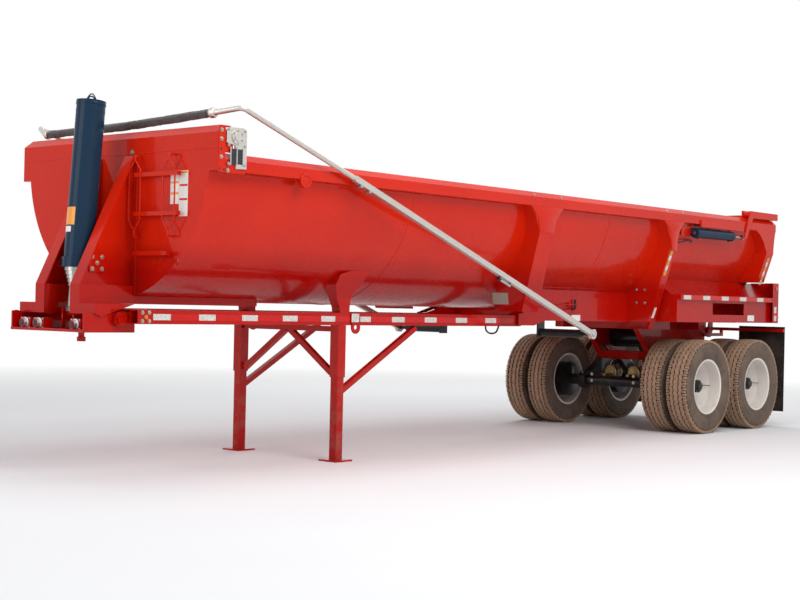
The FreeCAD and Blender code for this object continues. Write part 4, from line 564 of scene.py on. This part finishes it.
# Reflective tape along the frame, the fenders, the posts and the ribs.
def tape_run(name, body, start, along, normal, total, strips, width=0.05):
    """Films of sheeting end to end on a flat face; strips are colours and lengths, taken in turn."""
    gap, thickness, shortest = 0.001, 0.0007, 0.02
    along, normal = Vector(along).normalized(), Vector(normal).normalized()
    lie = Matrix((along, normal.cross(along), normal)).transposed().to_4x4()
    films = {colour: bmesh.new() for colour in TAPES}
    at, turn = 0.0, 0
    while at < total - shortest:
        colour, length = strips[turn % len(strips)]
        length = min(length, total - at)
        film = brick((gap, -width / 2, 0), (length - gap, width / 2, thickness), 0.0003, 1)
        put(films[colour], film, Matrix.Translation(Vector(start) + along * at) @ lie)
        at += length
        turn += 1
    for colour, bm in films.items():
        if len(bm.verts):
            bmesh.ops.recalc_face_normals(bm, faces=bm.faces[:])
            piece(f"{name}_{colour}", bm, TAPES[colour], body)
        else:
            bm.free()


def build_tape():
    for side in SIDES:
        out, word = (0, side, 0), WORD[side]
        arm, lip = side * (ARM_FACE + 0.0002), side * (SIDE_Y + 0.0003)
        tape_run(f"arm_tape_{word}", "draft_frame", (4.66, arm, ARM_MIDDLE), (-1, 0, 0), out, 4.85,
                 (("white", 0.185), ("red", 0.30)))
        tape_run(f"fender_tape_{word}", "tub", (-2.66, lip, 1.597), (-1, 0, 0), out, 2.18,
                 (("white", 0.17), ("red", 0.28)), width=0.048)
        tape_run(f"post_tape_{word}", "tub", (-4.958, lip, 1.515), (0, 0, -1), out, 0.18,
                 (("white", 0.08), ("red", 0.03)), width=0.062)


def build_rib_tape():
    """Down the ribs' outer faces, which lean in below the neck."""
    lean = Vector((0, SIDE_Y - FOOT_Y, NECK_Z - FOOT_Z)).normalized()
    bright = (("yellow", 0.060), ("white", 0.060))
    for side in SIDES:
        down = Vector((0, -side * lean.y, -lean.z))
        out = Vector((0, side * lean.z, -lean.y))
        # Run, its place along the trailer, its upper end, its length and its strips.
        for run, x, top, total, strips in (("rear_rib_upper", -2.419, 2.120, 0.30, bright),
                                           ("rear_rib_lower", -2.468, 1.470, 0.13, (("white", 0.130),)),
                                           ("corner_rib", -4.790, 2.130, 0.36, bright)):
            face = SIDE_Y - (NECK_Z - top) * lean.y / lean.z
            start = Vector((x, side * face, top)) + out * 0.0004
            tape_run(f"{run}_tape_{WORD[side]}", "tub", start, down, out, total, strips)


# Hoist: bands, cap screws and a stud on the lid, the bail, two blank labels and the ports on the far side.
def wrapped(radius, first, last, low, high):
    """Film round an upright barrel at the origin, from one angle to another."""
    thickness, steps = 0.0006, 14
    bm = bmesh.new()
    rows = []
    for i in range(steps + 1):
        angle = first + (last - first) * i / steps
        section = ((radius, low), (radius + thickness, low), (radius + thickness, high), (radius, high))
        rows.append([bm.verts.new(polar(r, angle, z)) for r, z in section])
    for before, after in zip(rows, rows[1:]):
        for i in range(4):
            bm.faces.new((before[i], before[(i + 1) % 4], after[(i + 1) % 4], after[i]))
    bm.faces.new(rows[0])
    bm.faces.new(rows[-1])
    bmesh.ops.recalc_face_normals(bm, faces=bm.faces[:])
    return bm


def build_hoist():
    lean = TRUNNION - HOIST_FOOT
    place = Matrix.Translation(TRUNNION) @ Matrix.Rotation(math.atan2(lean.x, lean.z), 4, "Y")
    rim = turned([(0.113, 1.296), (0.1212, 1.298), (0.1222, 1.306), (0.1222, 1.314), (0.1205, 1.319),
                  (0.113, LID)], 64)
    for height in (1.236, 0.100):
        put(rim, band(0.113, 0.1195, 0.022, 64, height))
    piece("hoist_bands", parts((rim, place)), NAVY, "hoist_barrel")
    screws, seat = bmesh.new(), LID + 0.0005
    for i in range(8):
        put(screws, bolt(0.014), Matrix.Translation(polar(0.098, math.radians(45 * i + 12), seat)))
    put(screws, stud(0.007, 0.030, 0.006, 0.018, 12), Matrix.Translation((0.055, -0.085, seat)))
    piece("hoist_cap_screws", parts((screws, place)), BLACK, "hoist_barrel", angle=25)
    bail = bent_rod([(0, -0.040, 1.318), (0, -0.034, 1.360), (0, -0.010, 1.394), (0, 0.010, 1.394),
                     (0, 0.034, 1.360), (0, 0.040, 1.318)], 0.0050, corner=0.016)
    broadside = Matrix.Rotation(math.radians(53), 4, "Z")
    piece("hoist_lifting_bail", parts((bail, place @ broadside)), BLACK, "hoist_barrel", angle=60)
    front = math.radians(-6)
    for colour, first, last, low, high, finish in (("orange", -0.55, 0.55, 0.300, 0.445, DECAL_ORANGE),
                                                   ("white", -0.42, 0.30, 0.242, 0.288, DECAL_WHITE)):
        label = wrapped(BARREL_R + 0.0004, front + first, front + last, low, high)
        piece(f"hoist_{colour}_label", parts((label, place)), finish, "hoist_barrel")
    studs = parts(*((stud(0.012, 0.050, 0.010, 0.044, 16), facing((x, -BARREL_R, 0.030), (0, -1, 0)))
                    for x in (-0.035, 0.035)))
    piece("hoist_port_studs", parts((studs, place)), ZINC, "hoist_barrel", angle=25)
    block = brick((-0.055, -0.138, 0.008), (0.055, -0.112, 0.052), 0.006)
    piece("hoist_port_block", parts((block, place)), BLACK, "hoist_barrel")


# Bulkhead: rod loops on the ladder, blank label plates, fold line, weld beads and the gussets' bolts.
def ladder_loop(y):
    """Six-sided loop of rod, with a tab at its head and foot that a stem holds off the bulkhead."""
    x, half, head, shoulder, hip, foot = 4.612, 0.072, 2.568, 2.485, 2.080, 1.990
    outline = [(y, head), (y + half, shoulder), (y + half, hip), (y, foot), (y - half, hip), (y - half, shoulder)]
    bm = bent_rod([(x, a, b) for a, b in outline], 0.0065, corner=0.02, closed=True)
    for low, high in ((2.562, 2.612), (1.940, 1.992)):
        put(bm, brick((x - 0.006, y - 0.011, low), (x + 0.006, y + 0.011, high), 0.003))
    for z in (2.600, 1.945):
        put(bm, brick((TUB_FRONT, y - 0.009, z - 0.009), (x, y + 0.009, z + 0.009), 0.003))
    return bm


def build_bulkhead():
    forward, fold, film = (1, 0, 0), 2.628, TUB_FRONT + 0.0012
    loops, seams, screws, white, orange, red = (bmesh.new() for _ in range(6))
    for y in (0.345, 0.766):
        put(loops, ladder_loop(y))
    piece("ladder_loops", loops, RED, "tub", angle=60)
    put(seams, weld((TUB_FRONT, -1.262, fold), (TUB_FRONT, 1.262, fold), 0.0035))
    for side in SIDES:
        put(seams, weld((TUB_FRONT, side * 0.296, 1.470), (TUB_FRONT, side * 0.296, 2.600), 0.004))
        put(seams, plate((TUB_FRONT, side * 0.829, 1.739), forward, 0.030, 0.060, 0.012))
        face = side * (GUSSET_Y + 0.0002)
        places = [(TRUNNION.x + a, face, TRUNNION.z + b) for a in (-0.048, 0.048) for b in (-0.048, 0.048)]
        put(screws, bolts(places + [(TRUNNION.x, face, TRUNNION.z)], (0, side, 0), 0.020))
        put(screws, bolts([(TUB_FRONT + 0.001, side * 0.232, 2.640)], forward, 0.024))
    piece("bulkhead_seams", seams, RED, "tub", angle=60)
    # Two label plates: middle, top, bottom, and the heights of the orange bars.
    for middle, top, bottom, bars in ((0.768, 2.472, 2.202, (2.459, 2.375, 2.287)),
                                      (0.875, 2.467, 2.102, (2.454,))):
        put(white, plate((TUB_FRONT, middle, (top + bottom) / 2), forward, 0.104, top - bottom, 0.0012))
        for z in bars:
            put(orange, plate((film, middle, z), forward, 0.094, 0.018, 0.0006))
    for z in (2.350, 2.238):
        put(red, plate((film, 0.875, z), forward, 0.094, 0.016, 0.0006))
    piece("bulkhead_label_plates", white, DECAL_WHITE, "tub")
    piece("bulkhead_label_heads", orange, DECAL_ORANGE, "tub")
    piece("bulkhead_label_bars", red, TAPES["red"], "tub")
    piece("gusset_bolts", screws, ZINC, "tub", angle=25)


# Tarp gear on the near side: a side plate with its bolts and plugs, and the housing's ribs and bolts, with black
# films between the ribs as painted shade for the hollows there.
def build_tarp_gear():
    out, skin, plate_face, housing_face = (0, 1, 0), SIDE_Y + 0.0003, SIDE_Y + 0.005, 1.2843
    side_plate = brick((4.478, skin, 2.440), (4.548, plate_face, 2.800), 0.001, 1)
    put(side_plate, brick((4.262, skin, 2.440), (4.474, plate_face, 2.476), 0.001, 1))
    piece("tarp_gear_side_plate", side_plate, RED, "tub")
    places = [(x, plate_face, z) for x, z in ((4.522, 2.770), (4.522, 2.700), (4.522, 2.560), (4.452, 2.458))]
    piece("side_plate_bolts", bolts(places, out, 0.018), ZINC, "tub", angle=25)
    plugs = bmesh.new()
    for x, z in ((4.528, 2.470), (4.490, 2.462), (4.522, 2.620)):
        put(plugs, turned([(0, 0.0062), (0.009, 0.0060), (0.010, 0.005), (0.010, 0)], 20),
            facing((x, SIDE_Y, z), out))
    piece("side_plate_plugs", plugs, BLACK_PLASTIC, "tub", angle=25)
    hub_x, hub_z, circle = 4.360, 2.727, 0.050
    housing = bolts([(hub_x + circle * math.cos(a), 1.2915, hub_z + circle * math.sin(a))
                     for a in (0.5, 1.55, 2.6, 3.65, 4.7, 5.75)], out, 0.011)
    for z in (2.780, 2.660, 2.510):
        for x in (4.280, 4.452):
            put(housing, bolt(0.014), facing((x, housing_face, z), out))
    for x in (4.300, 4.366, 4.432):
        put(housing, brick((x - 0.006, housing_face, 2.500), (x + 0.006, housing_face + 0.006, 2.645), 0.002, 1))
    piece("tarp_gear_ribs_and_bolts", housing, CAST_ALUMINIUM, "tub", angle=25)
    # Black films between the housing's ribs stand for the hollows there: painted shade.
    pocket_shade_films = bmesh.new()
    for x in (4.306, 4.372):
        put(pocket_shade_films, brick((x, housing_face, 2.512), (x + 0.054, housing_face + 0.0007, 2.632), 0.0003, 1))
    piece("tarp_gear_pocket_shade", pocket_shade_films, BLACK_PLASTIC, "tub")


# Tub sides: weld seams, bosses, doubler plates, bolts, blank plates, tie rings and the release rod.
def shell_y(z):
    """How far out the half-round shell lies at a height."""
    return math.sqrt(SHELL_R ** 2 - (RAIL_TOP - z) ** 2)


def arc_seam(x):
    """Bead round the shell, just short of the rails on both sides."""
    places = (polar(SHELL_R, math.radians(degrees)) for degrees in range(-173, -6, 4))
    return bent_rod([(x, place.x, RAIL_TOP + place.y) for place in places], 0.004, corner=0.02)


def build_sides():
    seams, boss, doublers, screws, rings = (bmesh.new() for _ in range(5))
    rib_heads = (((0.372, RAIL_FOOT), (-0.182, RAIL_FOOT), (-0.060, 2.330), (-0.016, 2.190), (0.214, 2.190),
                  (0.250, 2.330)),
                 ((-2.196, RAIL_FOOT), (-2.632, RAIL_FOOT), (-2.505, 2.330), (-2.470, 2.120), (-2.360, 2.120),
                  (-2.330, 2.330)))
    for x in (2.047, -1.240):
        put(seams, arc_seam(x))
    for side in SIDES:
        # Beads between the ribs under the rails, and one low on the shell: ends, height and radius.
        for first, last, z, radius in ((4.390, 0.380, RAIL_FOOT, 0.0045), (-0.190, -2.190, RAIL_FOOT, 0.0045),
                                       (-2.640, -4.400, RAIL_FOOT, 0.0045), (-2.190, -0.530, 1.662, 0.005)):
            put(seams, weld((first, side * shell_y(z), z), (last, side * shell_y(z), z), radius))
        pad = turned([(0, 0.040), (0.034, 0.040), (0.042, 0.050), (0.056, 0.050), (0.061, 0.045), (0.061, 0),
                      (0, 0)], 40)
        put(boss, pad, facing((3.572, side * 1.234, 2.446), (0, side, 0)) @ Matrix.Diagonal((1.12, 1.0, 1, 1)))
        upright = Matrix(((1, 0, 0, 0), (0, 0, side, side * (SIDE_Y + 0.0003)), (0, 1, 0, 0), (0, 0, 0, 1)))
        for outline in rib_heads:
            put(doublers, sheet_of(outline, 0.006, 0.0015), upright)
        on_web = [(-2.378 + 0.05 * (z - 1.6), side * y, z) for y in (0.815, 0.925) for z in (1.523, 1.673)]
        on_rail = [(x, side * (SIDE_Y + 0.001), 2.560) for x in (0.330, -0.140, -2.240, -2.590)]
        put(screws, bolts(on_web, (1, 0, -0.055), 0.020))
        put(screws, bolts(on_rail, (0, side, 0), 0.016))
        y = side * 0.945
        put(rings, loop((-2.478, y, 1.246), (0, 1, 0), 0.028, 0.009))
        put(rings, brick((-2.492, y - 0.008, 1.268), (-2.464, y + 0.008, 1.304), 0.003))
    piece("shell_weld_seams", seams, RED, "tub", angle=60)
    piece("shell_bosses", boss, RED, "tub")
    piece("rib_doubler_plates", doublers, RED, "tub")
    piece("web_and_rail_bolts", screws, ZINC, "tub", angle=25)
    grey = plate((0.1320, 0.736, 1.524), (1, 0, -0.14), 0.200, 0.118, 0.0015)
    piece("blank_grey_plate", grey, DECAL_GREY, "tub")
    piece("tie_rings", rings, RED, "tub", angle=60)
    y, rail = 0.705, REAR_RAIL_Y + 0.0003
    rod = bent_rod([(-0.020, y, 1.441), (-1.287, y, 1.483)], 0.010)
    for x, z in ((-0.540, 1.4585), (-1.180, 1.4795)):
        put(rod, brick((x - 0.015, rail, z - 0.022), (x + 0.015, y + 0.007, z + 0.022), 0.003))
    put(rod, brick((-0.030, 0.560, 1.425), (-0.010, y + 0.007, 1.457), 0.003))
    piece("release_rod", rod, RED, "tub", angle=60)
    handle = bent_rod([(-1.287, y, 1.535), (-1.287, y, 1.440), (-1.180, y + 0.030, 1.425)], 0.012, corner=0.012)
    piece("release_rod_handle", handle, BLACK, "tub", angle=60)
    white = plate((-1.341, rail, 1.335), (0, 1, 0), 0.170, 0.064, 0.0015)
    piece("blank_white_plate", white, DECAL_WHITE, "tub")


# Draft frame: hitch eyes and their patches, the tie loop, the arms' bolts, and the air and electric sockets.
def build_draft_frame():
    forward = (1, 0, 0)
    screws, flanges, faces = (bmesh.new() for _ in range(3))
    for side in SIDES:
        out, face = (0, side, 0), side * (ARM_FACE + 0.0012)
        proud = face + side * 0.012
        ring = turned([(0.022, 0), (0.058, 0), (0.060, 0.002), (0.060, 0.012), (0.024, 0.012), (0.022, 0.010),
                       (0.022, 0)], 32)
        eye = parts((ring, facing((2.269, face, 1.220), out)))
        put(eye, brick((2.209, min(face, proud), 1.258), (2.333, max(face, proud), 1.350), 0.003))
        piece(f"hitch_eye_{WORD[side]}", eye, RED, "draft_frame")
        patch = plate((2.279, proud + side * 0.0002, 1.306), out, 0.100, 0.078, 0.0008)
        piece(f"hitch_eye_patch_{WORD[side]}", patch, TAPES["white"], "draft_frame")
        places = [(x, side * (ARM_FACE + 0.0005), z) for x in (4.700, 4.770) for z in (1.262, 1.330)]
        put(screws, bolts(places, out, 0.018))
    bar = [(0.222, 1.237), (0.215, 1.195), (0.165, 1.165), (0.100, 1.160), (0.035, 1.172), (-0.003, 1.237)]
    bar = bent_rod([(x, 0.62, z) for x, z in bar], 0.009, corner=0.04)
    piece("tie_loop", bar, BLACK, "draft_frame", angle=60)
    piece("arm_end_bolts", screws, ZINC, "draft_frame", angle=25)
    for y in (-0.330, -0.150, 0.330):
        put(flanges, turned([(0.033, 0), (0.046, 0), (0.046, 0.006), (0.036, 0.010), (0.033, 0.036)], 32),
            facing((COUPLER_X + 0.0005, y, SOCKET_Z), forward))
        places = [(COUPLER_X + 0.0002, y + a, SOCKET_Z + b) for a in (-0.050, 0.050) for b in (-0.036, 0.036)]
        put(flanges, bolts(places, forward, 0.009))
        put(faces, turned([(0, 0.006), (0.020, 0.006), (0.024, 0.002), (0.026, 0)], 24),
            facing((SOCKET_X + 0.0002, y, SOCKET_Z), forward))
    piece("socket_flanges", flanges, CAST_ALUMINIUM, "coupler", angle=25)
    piece("socket_faces", faces, BLACK_PLASTIC, "coupler")


# Gate cylinders: end bands, ports and a steel oil pipe up to each.
def build_gate_cylinders():
    for side in SIDES:
        y, z = side * 1.238, 2.347
        bands = bmesh.new()
        for x in (-2.960, -3.780):
            put(bands, band(0.054, 0.0575, 0.036, 40), facing((x, y, z), (-1, 0, 0)))
        for x in (-3.000, -3.760):
            put(bands, brick((x - 0.016, y - 0.014, z - 0.063), (x + 0.016, y + 0.014, z - 0.051), 0.003))
        piece(f"gate_cylinder_bands_{WORD[side]}", bands, NAVY, "gate_barrels", angle=30)
        route = ((-2.632, 1.200, 2.226), (-2.760, 1.172, 2.236), (-2.900, 1.160, 2.262), (-3.030, 1.148, 2.262),
                 (-3.060, 1.120, 2.250))
        pipe = bent_rod([(x, side * out, z) for x, out, z in route], 0.009, corner=0.05)
        piece(f"gate_oil_pipe_{WORD[side]}", pipe, BLACK, "tub", angle=60)


# Lamps and plates: on the posts, the fenders' skirts, the bolster and the ends of the draft arms.
def build_lamps():
    arm_ends, amber, red, bezel, signs = (bmesh.new() for _ in range(5))
    back, rear = (-1, 0, 0), BOLSTER_X - 0.0003
    frame_of_lamp = [(0.049, 0), (0.060, 0), (0.060, 0.006), (0.052, 0.012), (0.049, 0.008)]
    for side in SIDES:
        out, post = (0, side, 0), side * (SIDE_Y + 0.0003)
        put(arm_ends, lens(0.020, 0.012), facing((4.735, side * (ARM_FACE + 0.0008), ARM_MIDDLE), out))
        put(amber, lens(0.020, 0.014), facing((-5.014, post, 1.385), out))
        put(signs, plate((-4.400, side * (SKIRT_Y + 0.0002), 1.366), out, 0.170, 0.072, 0.0016))
        for y in (0.300, 0.440):
            place = facing((rear, side * y, 1.355), back)
            put(red, lens(0.050, 0.016), place)
            put(bezel, turned(frame_of_lamp, 36), place)
        put(red, lens(0.026, 0.012), facing((-4.965, post, 1.745), out))
    for y in (-0.09, 0.0, 0.09):
        put(red, lens(0.024, 0.012), facing((rear, y, 1.385), back))
    piece("arm_end_lenses", arm_ends, LENS_AMBER, "draft_frame")
    piece("marker_lenses", amber, LENS_AMBER, "tub")
    piece("tail_lenses", red, LENS_RED, "tub")
    piece("lamp_bezels", bezel, BLACK_PLASTIC, "tub")
    piece("fender_plates", signs, DECAL_WHITE, "tub")


# Running gear: chamber clamps and air pipes, beam bolts and pins, tank straps and the mud flaps' bolts.
def build_running_gear():
    clamps, pipes, pins, straps, flaps = (bmesh.new() for _ in range(5))
    forward, beam_y = (1, 0, 0), 0.445
    for axle in AXLES.values():
        for side in SIDES:
            y = side * 0.167
            for behind in (0.150, 0.222, 0.292):
                put(clamps, band(0.079, 0.0835, 0.014, 32), facing((axle - behind, y, 0.660), forward))
            put(pipes, bent_rod([(axle - 0.220, y, 0.738), (axle - 0.225, y, 0.800),
                                 (axle - 0.240, side * 0.255, 0.905), (axle - 0.250, side * 0.340, 0.985)],
                                0.010, corner=0.06))
            for z in (0.550, 0.630):
                put(pins, bolts([(axle + 0.071, side * 0.30, z)], forward, 0.020))
    for side in SIDES:
        for axle in AXLES.values():
            for dx in (-0.062, 0.062):
                put(pins, bolts([(axle + dx, side * beam_y, 0.640)], (0, 0, 1), 0.022))
        put(pins, turned([(0, 0.018), (0.040, 0.018), (0.048, 0.012), (0.062, 0.010), (0.062, 0), (0, 0)], 32),
            facing((sum(AXLES.values()) / 2, side * (beam_y + 0.0452), 0.880), (0, side, 0)))
        for y in (0.690, 0.840, 0.990, 1.140, 1.250):
            put(flaps, bolts([(FLAP_X - 0.0003, side * y, 1.235)], (-1, 0, 0), 0.018))
    for x in (-3.720, -3.996):
        for y in (-0.200, 0.200):
            put(straps, band(0.118, 0.1200, 0.036, 48, chamfer=0), facing((x, y - 0.018, 1.090), (0, 1, 0)))
    piece("chamber_clamps", clamps, ZINC, "suspension", angle=30)
    piece("chamber_air_pipes", pipes, BLACK, "suspension", angle=60)
    piece("beam_bolts_and_pins", pins, ZINC, "suspension", angle=25)
    piece("tank_straps", straps, BLACK, "suspension", angle=30)
    piece("mud_flap_bolts", flaps, ZINC, "suspension", angle=25)


# Rolled tarpaulin on the crossbar: wrinkled, tighter at its tied ends, its last wrap showing as an edge.
ROLL_HALF = 1.056  # half its length
ROLL_LEAST, ROLL_MOST = 0.0232, 0.0375


def crumpled(radius, angle, y):
    """Radius of the roll with its lumps, creases, slack and last wrap, at an angle and a place along it."""
    twist = polar(1, angle + 1.3 * y)
    lumps = noise.noise(Vector((twist.x * 1.1, twist.y * 1.1, y * 7))) * 0.0040
    creases = (1 - abs(noise.noise(Vector((twist.x * 2.0, twist.y * 2.0, y * 30 + 7)))) * 2.4) * 0.0030
    slack = 0.0012 * math.sin(y * 2.6 + 1.0)
    wrap = 0.0030 * ((angle / (2 * math.pi) + 0.5 + 0.03 * math.sin(9 * y)) % 1.0 - 0.5)
    return min(max(radius + lumps + creases + slack + wrap, ROLL_LEAST), ROLL_MOST)


def build_tarp():
    rings, core, tied, bulge, taper = 230, 0.0226, 0.0270, 0.006, 0.04
    outline = []
    for i in range(rings + 1):
        y = -ROLL_HALF + 2 * ROLL_HALF * i / rings
        outline.append((tied + bulge * min(1.0, (ROLL_HALF - abs(y)) / taper), y))
    bm = turned([(core, -ROLL_HALF)] + outline + [(core, ROLL_HALF)], 56)
    for vert in bm.verts:
        radius = math.hypot(vert.co.x, vert.co.y)
        if radius > 0.025:
            grow = crumpled(radius, math.atan2(vert.co.y, vert.co.x), vert.co.z) / radius
            vert.co.x *= grow
            vert.co.y *= grow
    # The crossbar rises a little to the near side and drops to the far one.
    middle = Vector((4.440, 0, 2.880))
    ends = {1: Vector((4.440, 1.120, 2.925)), -1: Vector((4.440, -1.120, 2.873))}
    slopes = {side: (end - middle) / abs(end.y - middle.y) for side, end in ends.items()}
    for vert in bm.verts:
        slope = slopes[1 if vert.co.z >= 0 else -1]
        vert.co = middle + slope * abs(vert.co.z) + Vector((-vert.co.x, 0, vert.co.y))
    bmesh.ops.recalc_face_normals(bm, faces=bm.faces[:])
    piece("rolled_tarpaulin", bm, TARP, "tarp_bow", ["tarp_roll"], 60)
    collars = bmesh.new()
    for slope in slopes.values():
        collar = turned([(0.0222, 0), (0.040, 0), (0.042, 0.004), (0.042, 0.030), (0.036, 0.044), (0.026, 0.048),
                         (0.0222, 0.048)], 40)
        put(collars, collar, facing(middle + slope * (ROLL_HALF + 0.002), slope))
    piece("tarp_end_collars", collars, ALUMINIUM, "tarp_bow", angle=30)


# Tarp arms: a tensioner and two clips under each arm, and the pivots' washers.
def build_tarp_arms():
    line = (TARP_JOINT - TARP_PIVOT).normalized()
    rise = Vector((-line.z, 0, line.x))
    steel, dark = bmesh.new(), bmesh.new()
    for side in SIDES:
        root = TARP_PIVOT + Vector((0, side * TARP_ARM_Y, 0))
        lower = root + line * 1.62 - rise * 0.052
        put(steel, bent_rod([lower - line * 0.085, lower + line * 0.085], 0.012))
        put(dark, bent_rod([lower + line * 0.085, lower + line * 0.125], 0.017))
        for along in (-0.075, 0.100):
            put(dark, bent_rod([lower + line * along, lower + line * along + rise * 0.028], 0.008))
        for along in (3.745, 3.860):
            under = root + line * along - rise * 0.0262
            put(steel, brick((-0.022, -0.014, 0), (0.022, 0.014, 0.018), 0.004), facing(under, -rise))
        put(steel, turned([(0, 0.012), (0.020, 0.012), (0.022, 0.009), (0.030, 0.006), (0.030, 0), (0, 0)], 32),
            facing((TARP_PIVOT.x, side * (TARP_PIN_Y + 0.0002), TARP_PIVOT.z), (0, side, 0)))
    piece("arm_tensioners", steel, CAST_ALUMINIUM, "tarp_bow", angle=30)
    piece("arm_tensioner_ends", dark, BLACK, "tarp_bow", angle=30)


# Studio: a pale floor that fades to white, a white sky for the camera alone, and four soft lamps.
def seen_directly(tree):
    """One for what the camera sees, in a mirror or glass too, and none for the light on the object."""
    path = add(tree, "LightPath").outputs
    straight = reckon(tree, "MAXIMUM", path["Is Camera Ray"], path["Is Glossy Ray"])
    return reckon(tree, "MAXIMUM", straight, path["Is Transmission Ray"])


def build_floor():
    fade_from, fade_to = 7, 17
    floor = bmesh.new()
    bmesh.ops.create_grid(floor, x_segments=1, y_segments=1, size=60)
    thing = show("floor", as_mesh("floor", floor))
    made, tree, shader = material("pale_matt_floor", Roughness=0.8, Specular_IOR_Level=0.1)
    tree.links.new(mixed(tree, spots(tree, 0.35, 3), "#F4F5F6", "#EFF0F1"), shader.inputs["Base Color"])
    away = add(tree, "VectorMath", {"operation": "LENGTH"}, i0=on_object(tree)).outputs["Value"]
    fade = reckon(tree, "MULTIPLY", ramp(tree, away, fade_from, fade_to, 0, 1), seen_directly(tree))
    white = add(tree, "Emission", Color=linear("#FFFFFF"), Strength=1.0)
    blend = add(tree, "MixShader", i0=fade, i1=shader.outputs[0], i2=white.outputs[0])
    output = next(node for node in tree.nodes if node.type == "OUTPUT_MATERIAL")
    tree.links.new(blend.outputs[0], output.inputs["Surface"])
    thing.data.materials.append(made)


def build_light():
    world = bpy.data.worlds.new("studio")
    scene.world = world
    world.use_nodes = True
    tree = world.node_tree
    tree.nodes.clear()
    soft = add(tree, "Background", Color=linear("#FBFCFF"), Strength=0.46)
    white = add(tree, "Background", Color=linear("#FFFFFF"), Strength=1.0)
    blend = add(tree, "MixShader", i0=seen_directly(tree), i1=soft.outputs[0], i2=white.outputs[0])
    add(tree, "OutputWorld", Surface=blend.outputs[0])
    aim = Vector((0, 0, 1.2))
    # Name, place, size in metres and power in watts.
    for name, spot, size, power in (("key", (4.0, 10.0, 9.0), 7.0, 830), ("fill", (12.0, -2.0, 5.0), 5.0, 220),
                                    ("back", (-9.0, -6.0, 8.0), 6.0, 320), ("top", (0.0, 2.0, 11.0), 6.0, 300)):
        lamp = bpy.data.lights.new(name, "AREA")
        lamp.size = size
        lamp.energy = power
        thing = show(name, lamp)
        thing.location = spot
        thing.rotation_euler = (aim - Vector(spot)).to_track_quat("-Z", "Y").to_euler()


for build in (place_camera, build_floor, build_light, build_wheels, build_tape, build_rib_tape, build_hoist,
              build_bulkhead, build_tarp_gear, build_sides, build_draft_frame, build_gate_cylinders, build_lamps,
              build_running_gear, build_tarp, build_tarp_arms):
    build()
